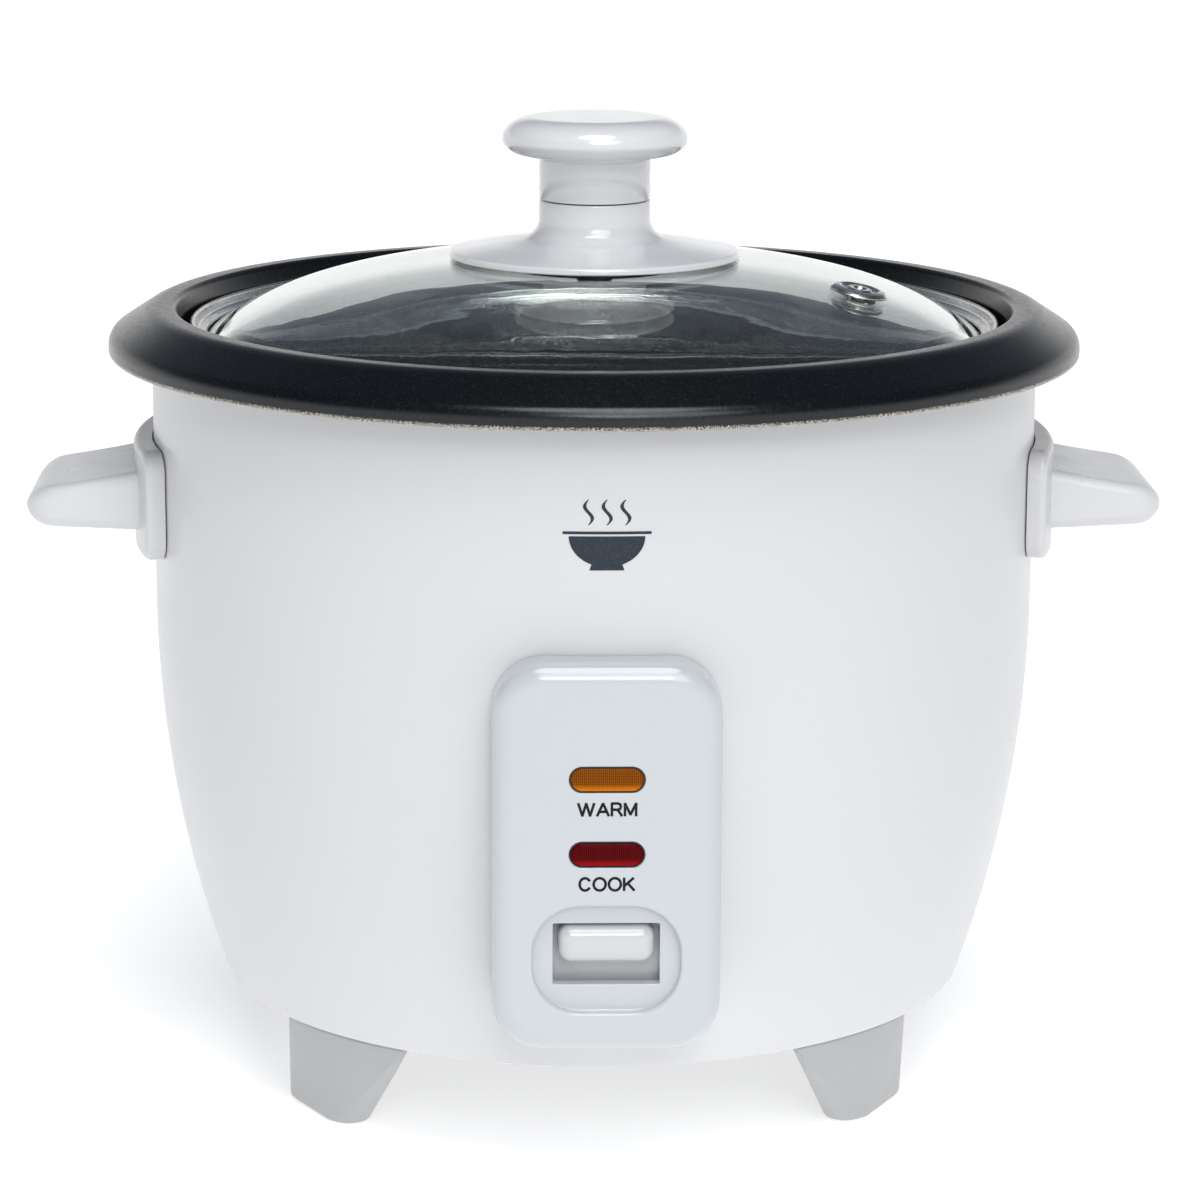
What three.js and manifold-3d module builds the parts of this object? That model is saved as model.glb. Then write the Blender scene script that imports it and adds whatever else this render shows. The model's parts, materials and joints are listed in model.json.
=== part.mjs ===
// A drum rice cooker of about one litre.
// Millimetres, +Z up from the bottoms of the feet. The control panel faces -Y and the handles lie along X.
import * as THREE from 'three';
import { ConvexGeometry } from 'three/addons/geometries/ConvexGeometry.js';
import { mergeVertices } from 'three/addons/utils/BufferGeometryUtils.js';
import Module from 'manifold-3d';

const wasm = await Module();
wasm.setup();

// ---- Driving dimensions ------------------------------------------------------------------------
const GAP = 0.3; // clearance between neighbouring pieces
const ROUND_SIDES = 32; // facets of the large round pieces
const KNOB_SIDES = 24; // facets of the lid knob
const SMALL_SIDES = 20; // facets of the small round pieces
const SCREW_SIDES = 8; // facets of screws and other thin rods

const casing = { radius: 93.6, wall: 1.2, bulgeTop: 105, bulgeRadius: 250, bottom: 22.5, top: 161 };
const casingSteps = [22.5, 39, 55.5, 72, 88.5, 105]; // heights of the facet rings of the bulge
const casingLip = { top: 91, floor: 66 }; // inner radii of the two inturned lips
const panelWindow = { halfWidth: 14, bottom: 41, top: 98 }; // opening in the casing behind the panel

const liner = { throat: 89.5, wall: 0.8, floor: 56, floorHole: 25, corner: 9.2, foot: 84, shoulder: 86 };
const pot = { wall: 1.5, floor: 73.8, corner: 14, foot: 80, top: 83, ledge: 154.3, throat: 86.6 };
const rim = { crest: 166.2, radius: 102.65, bottom: 156.5 };
const plate = { radius: 67, bottom: 60, top: 72, hole: 19 };
const element = { radius: 50, tube: 3.6, height: 62, gapDegrees: 13 };
const keepWarm = { inner: 87.2, outer: 88, bottom: 96, top: 124, halfGap: 16 };

const dome = { top: 177.1, radius: 286.4, edge: 83.5, droop: 6.37, thickness: 4 };
const knobAxis = { grip: 19.6, stem: 11.8, top: 205.5, split: 188, flange: 30.9 };
const vent = { x: 54.2, y: -21.4, flange: 6.2, neck: 3.2, bore: 1.1 };

const panel = { halfWidth: 22.4, bottom: 33, top: 111, corner: 10.5, front: -102, wall: 2.1, bevel: 4 };
const panelRecess = { halfWidth: 14.5, bottom: 41.1, top: 62.8, corner: 9.5, depth: 1.8 };
const switchWindow = { halfWidth: 10.45, bottom: 46.5, top: 58.9 };
const lens = { halfWidth: 7.4, halfHeight: 2.6, warm: 88.3, cook: 73.3 };
const panelBossHeights = [37, 104.5];

const handle = { centre: 127, collar: 97.8, halfWidth: 28.5, halfHeight: 11.5, reach: 119.7, gripHalf: 20 };
const handleScrewOffset = 13;

const base = { radius: 72, bottom: 20, top: 22.2 };
const standoff = { circle: 36, radius: 4, bore: 1.7, stud: 1.4, studTop: 64, angles: [90, 210, 330] };

const lever = { pivotY: -60, pivotZ: 46, halfWidth: 4.5, thickness: 1.5, pin: 1.5 };
const rod = { radius: 1.9, bottom: 32.6 };
const magnetSize = { outer: 13.5, inner: 2.2, bottom: 53.25, top: 59.25 };
const cup = { outer: 17, inner: 16.2, top: 72, bottom: 52, flange: 18.2 };
const inlet = { centre: 42, halfWidth: 14, halfHeight: 10, face: 94.5, back: 73.5, wall: 1.8 };

// ---- Solids from three.js geometry -------------------------------------------------------------
function signedVolume(points, corners) {
  const a = new THREE.Vector3();
  const b = new THREE.Vector3();
  const c = new THREE.Vector3();
  let total = 0;
  for (let i = 0; i < corners.length; i += 3) {
    a.fromBufferAttribute(points, corners[i]);
    b.fromBufferAttribute(points, corners[i + 1]);
    c.fromBufferAttribute(points, corners[i + 2]);
    total += a.dot(b.cross(c));
  }
  return total / 6;
}

// Shared corners are merged, empty triangles dropped, and the faces turned to point outwards.
function toSolid(geometry) {
  const bare = new THREE.BufferGeometry();
  bare.setAttribute('position', geometry.getAttribute('position'));
  bare.setIndex(geometry.getIndex());
  const merged = mergeVertices(bare, 1e-4);
  const index = merged.getIndex().array;
  const corners = [];
  for (let i = 0; i < index.length; i += 3) {
    const [a, b, c] = index.slice(i, i + 3);
    if (a !== b && b !== c && c !== a) corners.push(a, b, c);
  }
  const points = merged.getAttribute('position');
  if (signedVolume(points, corners) < 0) corners.reverse();
  return new wasm.Manifold(new wasm.Mesh({
    numProp: 3,
    vertProperties: new Float32Array(points.array),
    triVerts: new Uint32Array(corners),
  }));
}

function toGeometry(solid) {
  const mesh = solid.getMesh();
  const geometry = new THREE.BufferGeometry();
  geometry.setAttribute('position', new THREE.BufferAttribute(mesh.vertProperties, 3));
  geometry.setIndex(new THREE.BufferAttribute(mesh.triVerts, 1));
  geometry.computeVertexNormals();
  return geometry;
}

const joined = (...solids) => solids.reduce((whole, next) => whole.add(next));
const cutBy = (solid, ...tools) => tools.reduce((whole, tool) => whole.subtract(tool), solid);

// A profile of [radius, height] points turned about the Z axis, closed on itself if it is off the axis.
function turnedGeometry(profile, sides) {
  const points = profile.map(([radius, height]) => new THREE.Vector2(radius, height));
  if (profile[0][0] > 0) points.push(points[0].clone());
  return new THREE.LatheGeometry(points, sides).rotateX(Math.PI / 2);
}

const turned = (profile, sides = ROUND_SIDES) => toSolid(turnedGeometry(profile, sides));

function turnedAt(profile, x, y, sides = SCREW_SIDES) {
  return toSolid(turnedGeometry(profile, sides).translate(x, y, 0));
}

// Points [radius, height] of an arc, from one angle to another in degrees.
function arc(radius, height, size, from, to, steps) {
  const points = [];
  for (let i = 0; i <= steps; i += 1) {
    const angle = THREE.MathUtils.degToRad(from + ((to - from) * i) / steps);
    points.push([radius + size * Math.cos(angle), height + size * Math.sin(angle)]);
  }
  return points;
}

function block([x0, x1], [y0, y1], [z0, z1]) {
  const geometry = new THREE.BoxGeometry(x1 - x0, y1 - y0, z1 - z0);
  return toSolid(geometry.translate((x0 + x1) / 2, (y0 + y1) / 2, (z0 + z1) / 2));
}

function rodBetween(from, to, radius, sides = SCREW_SIDES) {
  const start = new THREE.Vector3(...from);
  const end = new THREE.Vector3(...to);
  const along = end.clone().sub(start);
  const direction = along.clone().normalize();
  const turn = new THREE.Quaternion().setFromUnitVectors(new THREE.Vector3(0, 1, 0), direction);
  const geometry = new THREE.CylinderGeometry(radius, radius, along.length(), sides);
  const middle = start.add(end).multiplyScalar(0.5);
  return toSolid(geometry.applyQuaternion(turn).translate(middle.x, middle.y, middle.z));
}

function outlineOf(points) {
  return new THREE.Shape(points.map(([across, up]) => new THREE.Vector2(across, up)));
}

function roundedOutline(x0, x1, y0, y1, radius) {
  const shape = new THREE.Shape();
  shape.absarc(x1 - radius, y0 + radius, radius, -Math.PI / 2, 0);
  shape.absarc(x1 - radius, y1 - radius, radius, 0, Math.PI / 2);
  shape.absarc(x0 + radius, y1 - radius, radius, Math.PI / 2, Math.PI);
  shape.absarc(x0 + radius, y0 + radius, radius, Math.PI, 1.5 * Math.PI);
  return shape;
}

// An outline drawn in XZ, extruded along Y from the front to the back, with a rounded edge if asked.
function alongY(outline, front, back, { bevel = 0, curveSegments = 2 } = {}) {
  const geometry = new THREE.ExtrudeGeometry(outline, {
    depth: back - front - 2 * bevel,
    curveSegments,
    bevelEnabled: bevel > 0,
    bevelThickness: bevel,
    bevelSize: bevel,
    bevelOffset: -bevel,
    bevelSegments: 2,
  });
  const axes = [new THREE.Vector3(1, 0, 0), new THREE.Vector3(0, 0, 1), new THREE.Vector3(0, -1, 0)];
  geometry.applyMatrix4(new THREE.Matrix4().makeBasis(...axes));
  return toSolid(geometry.translate(0, back - bevel, 0));
}

// An outline drawn in YZ, extruded along X.
function alongX(outline, x0, x1, curveSegments = 2) {
  const geometry = new THREE.ExtrudeGeometry(outline, { depth: x1 - x0, curveSegments, bevelEnabled: false });
  const axes = [new THREE.Vector3(0, 1, 0), new THREE.Vector3(0, 0, 1), new THREE.Vector3(1, 0, 0)];
  geometry.applyMatrix4(new THREE.Matrix4().makeBasis(...axes));
  return toSolid(geometry.translate(x0, 0, 0));
}

function alongZ(outline, z0, z1, curveSegments = 3) {
  const geometry = new THREE.ExtrudeGeometry(outline, { depth: z1 - z0, curveSegments, bevelEnabled: false });
  return toSolid(geometry.translate(0, 0, z0));
}

// A round tube that follows a curve.
function tubeAlong(curve, radius, steps, quarterSides) {
  const section = new THREE.Shape().absarc(0, 0, radius, 0, 2 * Math.PI);
  return toSolid(new THREE.ExtrudeGeometry(section, {
    steps,
    curveSegments: quarterSides,
    extrudePath: curve,
    bevelEnabled: false,
  }));
}

class Helix extends THREE.Curve {
  constructor(radius, bottom, top, turns) {
    super();
    Object.assign(this, { radius, bottom, top, turns });
  }

  getPoint(t) {
    const angle = 2 * Math.PI * this.turns * t;
    const height = this.bottom + (this.top - this.bottom) * t;
    return new THREE.Vector3(this.radius * Math.cos(angle), this.radius * Math.sin(angle), height);
  }
}

function spring(radius, wire, bottom, top, turns) {
  return tubeAlong(new Helix(radius, bottom + wire, top - wire, turns), wire, 12 * turns, 3);
}

function polar(radius, degrees) {
  const angle = THREE.MathUtils.degToRad(degrees);
  return [radius * Math.cos(angle), radius * Math.sin(angle)];
}

// ---- Casing and what hangs in it ---------------------------------------------------------------
function casingRadiusAt(height) {
  const drop = Math.max(0, casing.bulgeTop - height);
  return casing.radius - casing.bulgeRadius + Math.sqrt(casing.bulgeRadius ** 2 - drop ** 2);
}

const casingWallPoints = (offset) => casingSteps.map((height) => [casingRadiusAt(height) + offset, height]);

// The solid drum of the casing, grown by a clearance, that trims what sits against it.
function casingDrum(offset) {
  return turned([[0, casing.bottom], ...casingWallPoints(offset), [casing.radius + offset, 160], [0, 160]]);
}

function outerCasing() {
  const { wall, radius, top, bottom } = casing;
  const innerWall = casingWallPoints(-wall).reverse();
  innerWall[innerWall.length - 1][1] = bottom + wall;
  const shell = turned([
    [casingLip.floor, bottom],
    ...casingWallPoints(0),
    [radius, top - 1.6],
    [radius - 0.5, top - 0.5],
    [radius - 1.6, top],
    [casingLip.top, top],
    [casingLip.top, top - wall],
    [radius - wall - 0.6, top - wall],
    [radius - wall, top - wall - 0.7],
    ...innerWall,
    [casingLip.floor, bottom + wall],
  ]);
  const { halfWidth, bottom: windowBottom, top: windowTop } = panelWindow;
  const windowTool = block([-halfWidth, halfWidth], [-110, -60], [windowBottom, windowTop]);
  const inletTool = block(
    [-inlet.halfWidth - GAP, inlet.halfWidth + GAP],
    [60, 110],
    [inlet.centre - inlet.halfHeight - GAP, inlet.centre + inlet.halfHeight + GAP],
  );
  const bossHoles = panelBossHeights.map((height) => rodBetween([0, -110, height], [0, -70, height], 1.8));
  const inletHoles = [-20, 20].map((x) => rodBetween([x, 60, inlet.centre], [x, 110, inlet.centre], 1.8));
  const handleHoles = handleScrewPlaces().map(({ side, y }) => (
    rodBetween([side * 80, y, handle.centre], [side * 110, y, handle.centre], 1.9)
  ));
  return cutBy(shell, windowTool, inletTool, ...bossHoles, ...inletHoles, ...handleHoles);
}

function innerLiner() {
  const { throat, wall, floor, floorHole, corner, foot: footRadius, shoulder } = liner;
  const cupShape = turned([
    [93.4, 162.1],
    [throat + 0.3, 162.1],
    [throat, 161.8],
    [throat, 150],
    [shoulder, 146],
    ...arc(footRadius - corner, floor + wall + corner, corner, 0, -90, 3),
    [floorHole, floor + wall],
    [floorHole, floor],
    ...arc(footRadius - corner, floor + wall + corner, corner + wall, -90, 0, 3),
    [shoulder + wall, 145.8],
    [throat + wall, 149.7],
    [throat + wall, 161.3],
    [93.4, 161.3],
  ]);
  const studHoles = standoff.angles.map((degrees) => {
    const [x, y] = polar(standoff.circle, degrees);
    return rodBetween([x, y, 50], [x, y, 60], standoff.stud + 0.4);
  });
  const terminalHoles = elementEnds().map(([x, y]) => rodBetween([x, y, 50], [x, y, 60], element.tube + 1.6));
  return cutBy(cupShape, ...studHoles, ...terminalHoles);
}

function keepWarmHeater() {
  const { inner, outer, bottom, top, halfGap } = keepWarm;
  const band = turned([[outer, bottom], [outer, top], [inner, top], [inner, bottom]]);
  return band.subtract(block([-halfGap, halfGap], [70, 110], [bottom - 1, top + 1]));
}

// ---- Base ------------------------------------------------------------------------------------------
// One foot narrows from the drum's edge down to a small pad. Its outlines are for the front left foot,
// and sideX and sideY mirror it to the other corners.
const footPad = [
  [-65, -28], [-65, -31], [-63.8, -34.4], [-56.8, -47.2], [-54.8, -48.9], [-52.4, -49.8],
  [-50.2, -49.2], [-48.4, -47.8], [-47.8, -45], [-47.8, -31], [-50, -28],
];
const footTop = [
  [-65, -26], [-64.6, -44.2], [-57.5, -53.3], [-49, -61.2], [-39.2, -67.9], [-39.2, -46], [-46, -26],
];

function footSolid(sideX, sideY) {
  const corners = [
    ...footPad.map(([x, y]) => new THREE.Vector3(-x * sideX, -y * sideY, 0)),
    ...footTop.map(([x, y]) => new THREE.Vector3(-x * sideX, -y * sideY, base.top)),
  ];
  return toSolid(new ConvexGeometry(corners));
}

function baseCover() {
  const disc = turned([[0, base.bottom], [base.radius, base.bottom], [base.radius, base.top], [0, base.top]]);
  const feet = [footSolid(-1, -1), footSolid(1, -1), footSolid(-1, 1), footSolid(1, 1)];
  const vents = [-24, -16, -8, 0, 8, 16, 24].map((x) => (
    block([x - 1.5, x + 1.5], [-12, 12], [base.bottom - 1, base.top + 1])
  ));
  const screwHoles = standoff.angles.map((degrees) => {
    const [x, y] = polar(standoff.circle, degrees);
    return rodBetween([x, y, base.bottom - 1], [x, y, base.top + 1], standoff.stud + 0.4);
  });
  return cutBy(joined(disc, ...feet), ...vents, ...screwHoles);
}

function baseStandoff(degrees) {
  const { circle, radius, bore, stud, studTop } = standoff;
  const shoulder = liner.floor - GAP;
  const profile = [
    [0, studTop],
    [stud, studTop],
    [stud, shoulder],
    [radius, shoulder],
    [radius, base.top + GAP],
    [bore, base.top + GAP],
    [bore, 38],
    [0, 38],
  ];
  return turnedAt(profile, ...polar(circle, degrees), 6);
}

function baseScrew(degrees) {
  const head = base.bottom - GAP;
  const profile = [[0, 36], [1.4, 36], [1.4, head], [3.2, head], [2.6, head - 1.9], [0, head - 1.9]];
  return turnedAt(profile, ...polar(standoff.circle, degrees));
}

// ---- Heating plate and thermostat ----------------------------------------------------------------------
function elementEnds() {
  return [90 - element.gapDegrees, 90 + element.gapDegrees].map((degrees) => polar(element.radius, degrees));
}

// The heater ring runs round the plate, and its two ends turn down through the liner floor.
function heatingElement() {
  const points = [];
  const start = 90 + element.gapDegrees;
  const sweep = 360 - 2 * element.gapDegrees;
  const arcSteps = 20;
  const [last, first] = elementEnds();
  points.push(new THREE.Vector3(...first, 48), new THREE.Vector3(...first, 57));
  for (let i = 0; i <= arcSteps; i += 1) {
    const [x, y] = polar(element.radius, start + 5 + ((sweep - 10) * i) / arcSteps);
    points.push(new THREE.Vector3(x, y, element.height));
  }
  points.push(new THREE.Vector3(...last, 57), new THREE.Vector3(...last, 48));
  return tubeAlong(new THREE.CatmullRomCurve3(points, false, 'centripetal'), element.tube, 56, 3);
}

function heatingPlate() {
  const { radius, bottom, top, hole } = plate;
  const disc = turned([
    [hole, bottom],
    [radius - 1.5, bottom],
    [radius, bottom + 1.5],
    [radius, top - 2],
    [radius - 2, top],
    [hole, top],
  ]);
  const groove = turned([
    [element.radius - 4.6, bottom - 9],
    [element.radius + 4.6, bottom - 9],
    [element.radius + 4.6, bottom + 6.4],
    [element.radius - 4.6, bottom + 6.4],
  ]);
  const places = standoff.angles.map((degrees) => polar(standoff.circle, degrees));
  const bosses = places.map(([x, y]) => rodBetween([x, y, 57.1], [x, y, bottom + 0.5], 5));
  const studHoles = places.map(([x, y]) => rodBetween([x, y, 56], [x, y, 66], standoff.stud + 0.35));
  return cutBy(joined(disc, ...bosses), groove, ...studHoles);
}

function sensorCup() {
  const { outer, inner, top, bottom, flange } = cup;
  return turned([
    [0, top],
    [inner, top],
    [outer, top - 0.8],
    [outer, bottom + 0.8],
    [flange, bottom + 0.8],
    [flange, bottom],
    [inner, bottom],
    [inner, top - 1],
    [0, top - 1],
  ], SMALL_SIDES);
}

const ferriteCore = () => turned([[4.5, 66], [15.8, 66], [15.8, 70.7], [4.5, 70.7]], SMALL_SIDES);

function magnet() {
  const { outer, inner, bottom, top } = magnetSize;
  return turned([[inner, bottom], [outer, bottom], [outer, top], [inner, top]], SMALL_SIDES);
}

// The rod carries the magnet under its head, and the lever's fork rides between its two collars.
function magnetRod() {
  const { radius, bottom } = rod;
  const head = magnetSize.top + GAP;
  return turned([
    [0, bottom],
    [4.2, bottom],
    [4.2, bottom + 1.4],
    [radius, bottom + 1.4],
    [radius, bottom + 5.4],
    [4.2, bottom + 5.4],
    [4.2, bottom + 6.6],
    [radius, bottom + 6.6],
    [radius, head],
    [3.5, head],
    [3.5, head + 0.8],
    [0, head + 0.8],
  ], 12);
}

function thermostatBracket() {
  const outline = outlineOf([
    [-38, 55.7], [-38, 54.5], [-29.5, 54.5], [-28.5, 46], [28.5, 46], [29.5, 54.5],
    [38, 54.5], [38, 55.7], [28.3, 55.7], [27.4, 47.2], [-27.4, 47.2], [-28.3, 55.7],
  ]);
  return alongY(outline, -11, 11).subtract(rodBetween([0, 0, 40], [0, 0, 50], rod.radius + 0.7));
}

// ---- Cook switch ---------------------------------------------------------------------------------------
// A bent strip: fork under the thermostat, pivot, then the front arm that carries the paddle.
function switchLever() {
  const { pivotY, pivotZ, halfWidth, pin } = lever;
  const half = lever.thickness / 2;
  const centres = [
    [5, 35.95], [-45, 35.95], [pivotY + 3, pivotZ], [pivotY - 3, pivotZ],
    [-70, 50], [-79, 53.25], [-95, 53.25],
  ];
  const upper = centres.map(([y, z]) => [y, z + half]);
  const lower = centres.map(([y, z]) => [y, z - half]).reverse();
  const strip = alongX(outlineOf([...upper, ...lower]), -halfWidth, halfWidth);
  const hub = rodBetween([-halfWidth, pivotY, pivotZ], [halfWidth, pivotY, pivotZ], pin + 1.6, 12);
  const bore = rodBetween([-9, pivotY, pivotZ], [9, pivotY, pivotZ], pin + GAP, 12);
  const forkSlot = block([-2.4, 2.4], [-3, 9], [30, 42]);
  return cutBy(joined(strip, hub), bore, forkSlot);
}

function leverPivotPin() {
  const { pivotY, pivotZ, pin } = lever;
  return rodBetween([-8.2, pivotY, pivotZ], [8.2, pivotY, pivotZ], pin, 12);
}

function leverBracket() {
  const cheekOutline = outlineOf([[-66, 37], [-54, 37], [-54, 55.7], [-66, 55.7]]);
  const topPlate = block([-14, 14], [-66, -54], [54.5, 55.7]);
  const cheeks = [alongX(cheekOutline, 5.2, 6.6), alongX(cheekOutline, -6.6, -5.2)];
  const shelf = block([-10, 10], [-79, -54], [36, 37.2]);
  const { pivotY, pivotZ, pin } = lever;
  const pinHole = rodBetween([-9, pivotY, pivotZ], [9, pivotY, pivotZ], pin + GAP, 12);
  return cutBy(joined(topPlate, ...cheeks, shelf), pinHole);
}

function microswitchBody() {
  const body = block([-10, 10], [-77.3, -70.7], [37.5, 47.5]);
  return body.subtract(rodBetween([0, -74, 44.5], [0, -74, 48], 1.9));
}

const microswitchButton = () => rodBetween([0, -74, 46.1], [0, -74, 50.1], 1.5);

// The paddle's pillow face works in the window, a shutter closes the window behind it, and its block
// grips the end of the lever.
function cookPaddle() {
  const face = alongY(roundedOutline(-9.45, 9.45, 50.9, 58.5, 2.4), -101.4, -96.8, { bevel: 1.6 });
  const grip = block([-6.5, 6.5], [-98, -87], [50.9, 56.2]);
  const shutter = block([-12.5, 12.5], [-95.4, -94.2], [45, 62.4]);
  const slot = block([-4.8, 4.8], [-95.3, -80], [52.2, 54.3]);
  return joined(face, grip, shutter).subtract(slot);
}

// ---- Control panel -------------------------------------------------------------------------------------
function stadium(halfWidth, halfHeight, height) {
  return roundedOutline(-halfWidth, halfWidth, height - halfHeight, height + halfHeight, halfHeight - 0.01);
}

function controlPanel() {
  const { halfWidth, bottom, top, corner, front, wall, bevel } = panel;
  const inner = halfWidth - wall;
  const back = front + wall;
  const shell = alongY(roundedOutline(-halfWidth, halfWidth, bottom, top, corner), front, -70, {
    bevel,
    curveSegments: 3,
  });
  const hollow = alongY(roundedOutline(-inner, inner, bottom + wall, top - wall, corner - wall), back, -60);
  const windowPad = block([-16.5, 16.5], [back - 0.5, front + 4.5], [39, 65]);
  const bosses = panelBossHeights.map((height) => rodBetween([0, back - 0.5, height], [0, -60, height], 3.2));
  const pilots = panelBossHeights.map((height) => rodBetween([0, back + 0.6, height], [0, -60, height], 1.6));
  const recess = roundedOutline(
    -panelRecess.halfWidth, panelRecess.halfWidth, panelRecess.bottom, panelRecess.top, panelRecess.corner);
  const recessTool = alongY(recess, front - 5, front + panelRecess.depth, { curveSegments: 3 });
  const windowTool = block(
    [-switchWindow.halfWidth, switchWindow.halfWidth], [-120, -90], [switchWindow.bottom, switchWindow.top]);
  const lensHoles = [lens.warm, lens.cook].map((height) => (
    alongY(stadium(lens.halfWidth, lens.halfHeight, height), -120, -90)
  ));
  const body = joined(shell.subtract(hollow), windowPad, ...bosses);
  return cutBy(body, casingDrum(GAP), recessTool, windowTool, ...lensHoles, ...pilots);
}

function indicatorLens(height) {
  const { halfWidth, halfHeight } = lens;
  const back = panel.front + panel.wall + GAP;
  const face = alongY(stadium(halfWidth - GAP, halfHeight - GAP, height), panel.front - 0.2, back + 0.5);
  const flange = alongY(stadium(halfWidth + 1.3, halfHeight + 1.2, height), back, back + 1.2);
  return joined(face, flange);
}

const lamp = (height) => rodBetween([-5.5, -95.8, height], [5.5, -95.8, height], 1.9);

function lampHolder() {
  const board = block([-13, 13], [-93.5, -92.3], [68, 94]);
  const posts = [-11.5, 11.5].map((x) => block([x - 1.2, x + 1.2], [-99.6, -93], [79.6, 82]));
  return joined(board, ...posts);
}

// The head sits inside the casing wall, clear of its slope.
function panelScrew(height) {
  const headRadius = 2.9;
  const seat = -casingRadiusAt(height - headRadius) + casing.wall + 2 * GAP;
  const shank = rodBetween([0, -98.4, height], [0, seat + 0.5, height], 1.3);
  return shank.add(rodBetween([0, seat, height], [0, seat + 1.8, height], headRadius));
}

// ---- Handles -------------------------------------------------------------------------------------------
function handleScrewPlaces() {
  const places = [];
  for (const side of [-1, 1]) {
    for (const y of [-handleScrewOffset, handleScrewOffset]) places.push({ side, y });
  }
  return places;
}

function handleSolid(side) {
  const { centre, collar, halfWidth, halfHeight, reach, gripHalf } = handle;
  const inner = casing.radius + GAP;
  const collarRing = turned([[inner, 110], [collar, 110], [collar, 144], [inner, 144]]);
  const collarOutline = roundedOutline(-halfWidth, halfWidth, centre - halfHeight, centre + halfHeight, 4.5);
  const collarBlock = side > 0 ? alongX(collarOutline, 60, 110) : alongX(collarOutline, -110, -60);
  const sideOutline = outlineOf([
    [88, 120.4], [reach - 4.8, 121.4], [reach - 2, 122.1], [reach - 0.3, 124], [reach, 126],
    [reach - 0.7, 127.9], [reach - 2.5, 129.3], [reach - 5.8, 129.9], [98.5, 133.2], [88, 133.6],
  ].map(([x, z]) => [side * x, z]));
  const bar = alongY(sideOutline, -gripHalf, gripHalf);
  const planOutline = side > 0
    ? roundedOutline(80, reach, -gripHalf, gripHalf, 7)
    : roundedOutline(-reach, -80, -gripHalf, gripHalf, 7);
  const grip = bar.intersect(alongZ(planOutline, 110, 140));
  const screwHoles = [-handleScrewOffset, handleScrewOffset].map((y) => (
    rodBetween([side * 80, y, centre], [side * 106, y, centre], 1.6)
  ));
  const body = joined(collarRing.intersect(collarBlock), grip);
  return cutBy(body, turned([[0, 100], [inner, 100], [inner, 150], [0, 150]]), ...screwHoles);
}

function handleScrew({ side, y }) {
  const shank = rodBetween([side * 89, y, handle.centre], [side * 104, y, handle.centre], 1.3);
  return shank.add(rodBetween([side * 88.6, y, handle.centre], [side * 90.2, y, handle.centre], 2.9));
}

// ---- Mains inlet and wiring ----------------------------------------------------------------------------
function powerInlet() {
  const { centre, halfWidth, halfHeight, face, back, wall } = inlet;
  const bezel = alongY(roundedOutline(-25, 25, centre - 13, centre + 13, 6), 70, face, { bevel: 1.2 });
  const tunnel = block([-halfWidth, halfWidth], [back, face - 3], [centre - halfHeight, centre + halfHeight]);
  const mouth = block(
    [-halfWidth + wall, halfWidth - wall],
    [back + wall, 110],
    [centre - halfHeight + wall, centre + halfHeight - wall],
  );
  const screws = [-20, 20].map((x) => joined(
    rodBetween([x, 60, centre], [x, 110, centre], 1.8),
    rodBetween([x, face - 2.4, centre], [x, 110, centre], 3.4),
  ));
  const pinHoles = inletPinPlaces.map(({ x, z }) => block([x - 1.3, x + 1.3], [60, 90], [z - 2.3, z + 2.3]));
  return cutBy(joined(bezel.subtract(casingDrum(GAP)), tunnel), mouth, ...screws, ...pinHoles);
}

const inletPinPlaces = [
  { name: 'inlet_pin_live', x: -7, z: 40 },
  { name: 'inlet_pin_neutral', x: 7, z: 40 },
  { name: 'inlet_pin_earth', x: 0, z: 45 },
];

const inletPin = ({ x, z }) => block([x - 1, x + 1], [70, 89], [z - 2, z + 2]);

function inletScrew(x) {
  const shank = rodBetween([x, 76, inlet.centre], [x, inlet.face - 1, inlet.centre], 1.4);
  return shank.add(rodBetween([x, inlet.face - 2.1, inlet.centre], [x, inlet.face - 0.5, inlet.centre], 3));
}

function wire(points) {
  const curve = new THREE.CatmullRomCurve3(points.map((point) => new THREE.Vector3(...point)));
  return tubeAlong(curve, 0.9, 14, 3);
}

const thermalFuse = () => rodBetween([-38, 40, 51], [-18, 48, 51], 2.2);

// The routes of the inner wires, from terminal to terminal.
const wireRoutes = {
  wire_live: [[-7, 69.6, 40], [-8, 64, 41], [-14, 57, 46], [-17, 48.6, 50.9]],
  wire_neutral: [[7, 69.6, 40], [8, 64, 41], [10.5, 55, 44], [elementEnds()[0][0], 48.7, 46.7]],
  wire_switch: [
    [-38.9, 39.6, 50.8], [-45, 34, 44], [-47, 0, 34], [-38, -45, 34], [-20, -70, 39], [-11.3, -74, 42],
  ],
  wire_lamp: [[11.3, -75, 42], [13, -80, 46], [11.5, -86, 55], [10.6, -90, 62], [10.4, -92.6, 66.6]],
};

// ---- Lid -----------------------------------------------------------------------------------------------
function domeHeight(radius) {
  const cap = dome.radius - Math.sqrt(dome.radius ** 2 - radius ** 2);
  return dome.top - cap - dome.droop * (radius / dome.edge) ** 8;
}

function lidGlass() {
  const topRadii = [4, 20, 36, 50, 62, 71, 77.5, 81.5];
  const underRadii = [76, 66, 54, 38, 20, 4];
  const shell = turned([
    ...topRadii.map((radius) => [radius, domeHeight(radius)]),
    [dome.edge, domeHeight(dome.edge)],
    [dome.edge, 156.4],
    [82, 155.6],
    ...underRadii.map((radius) => [radius, domeHeight(radius) - dome.thickness]),
  ]);
  return shell.subtract(alongVentAxis(turnedGeometry([[0, -9], [3.7, -9], [3.7, 9], [0, 9]], 12)));
}

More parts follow.
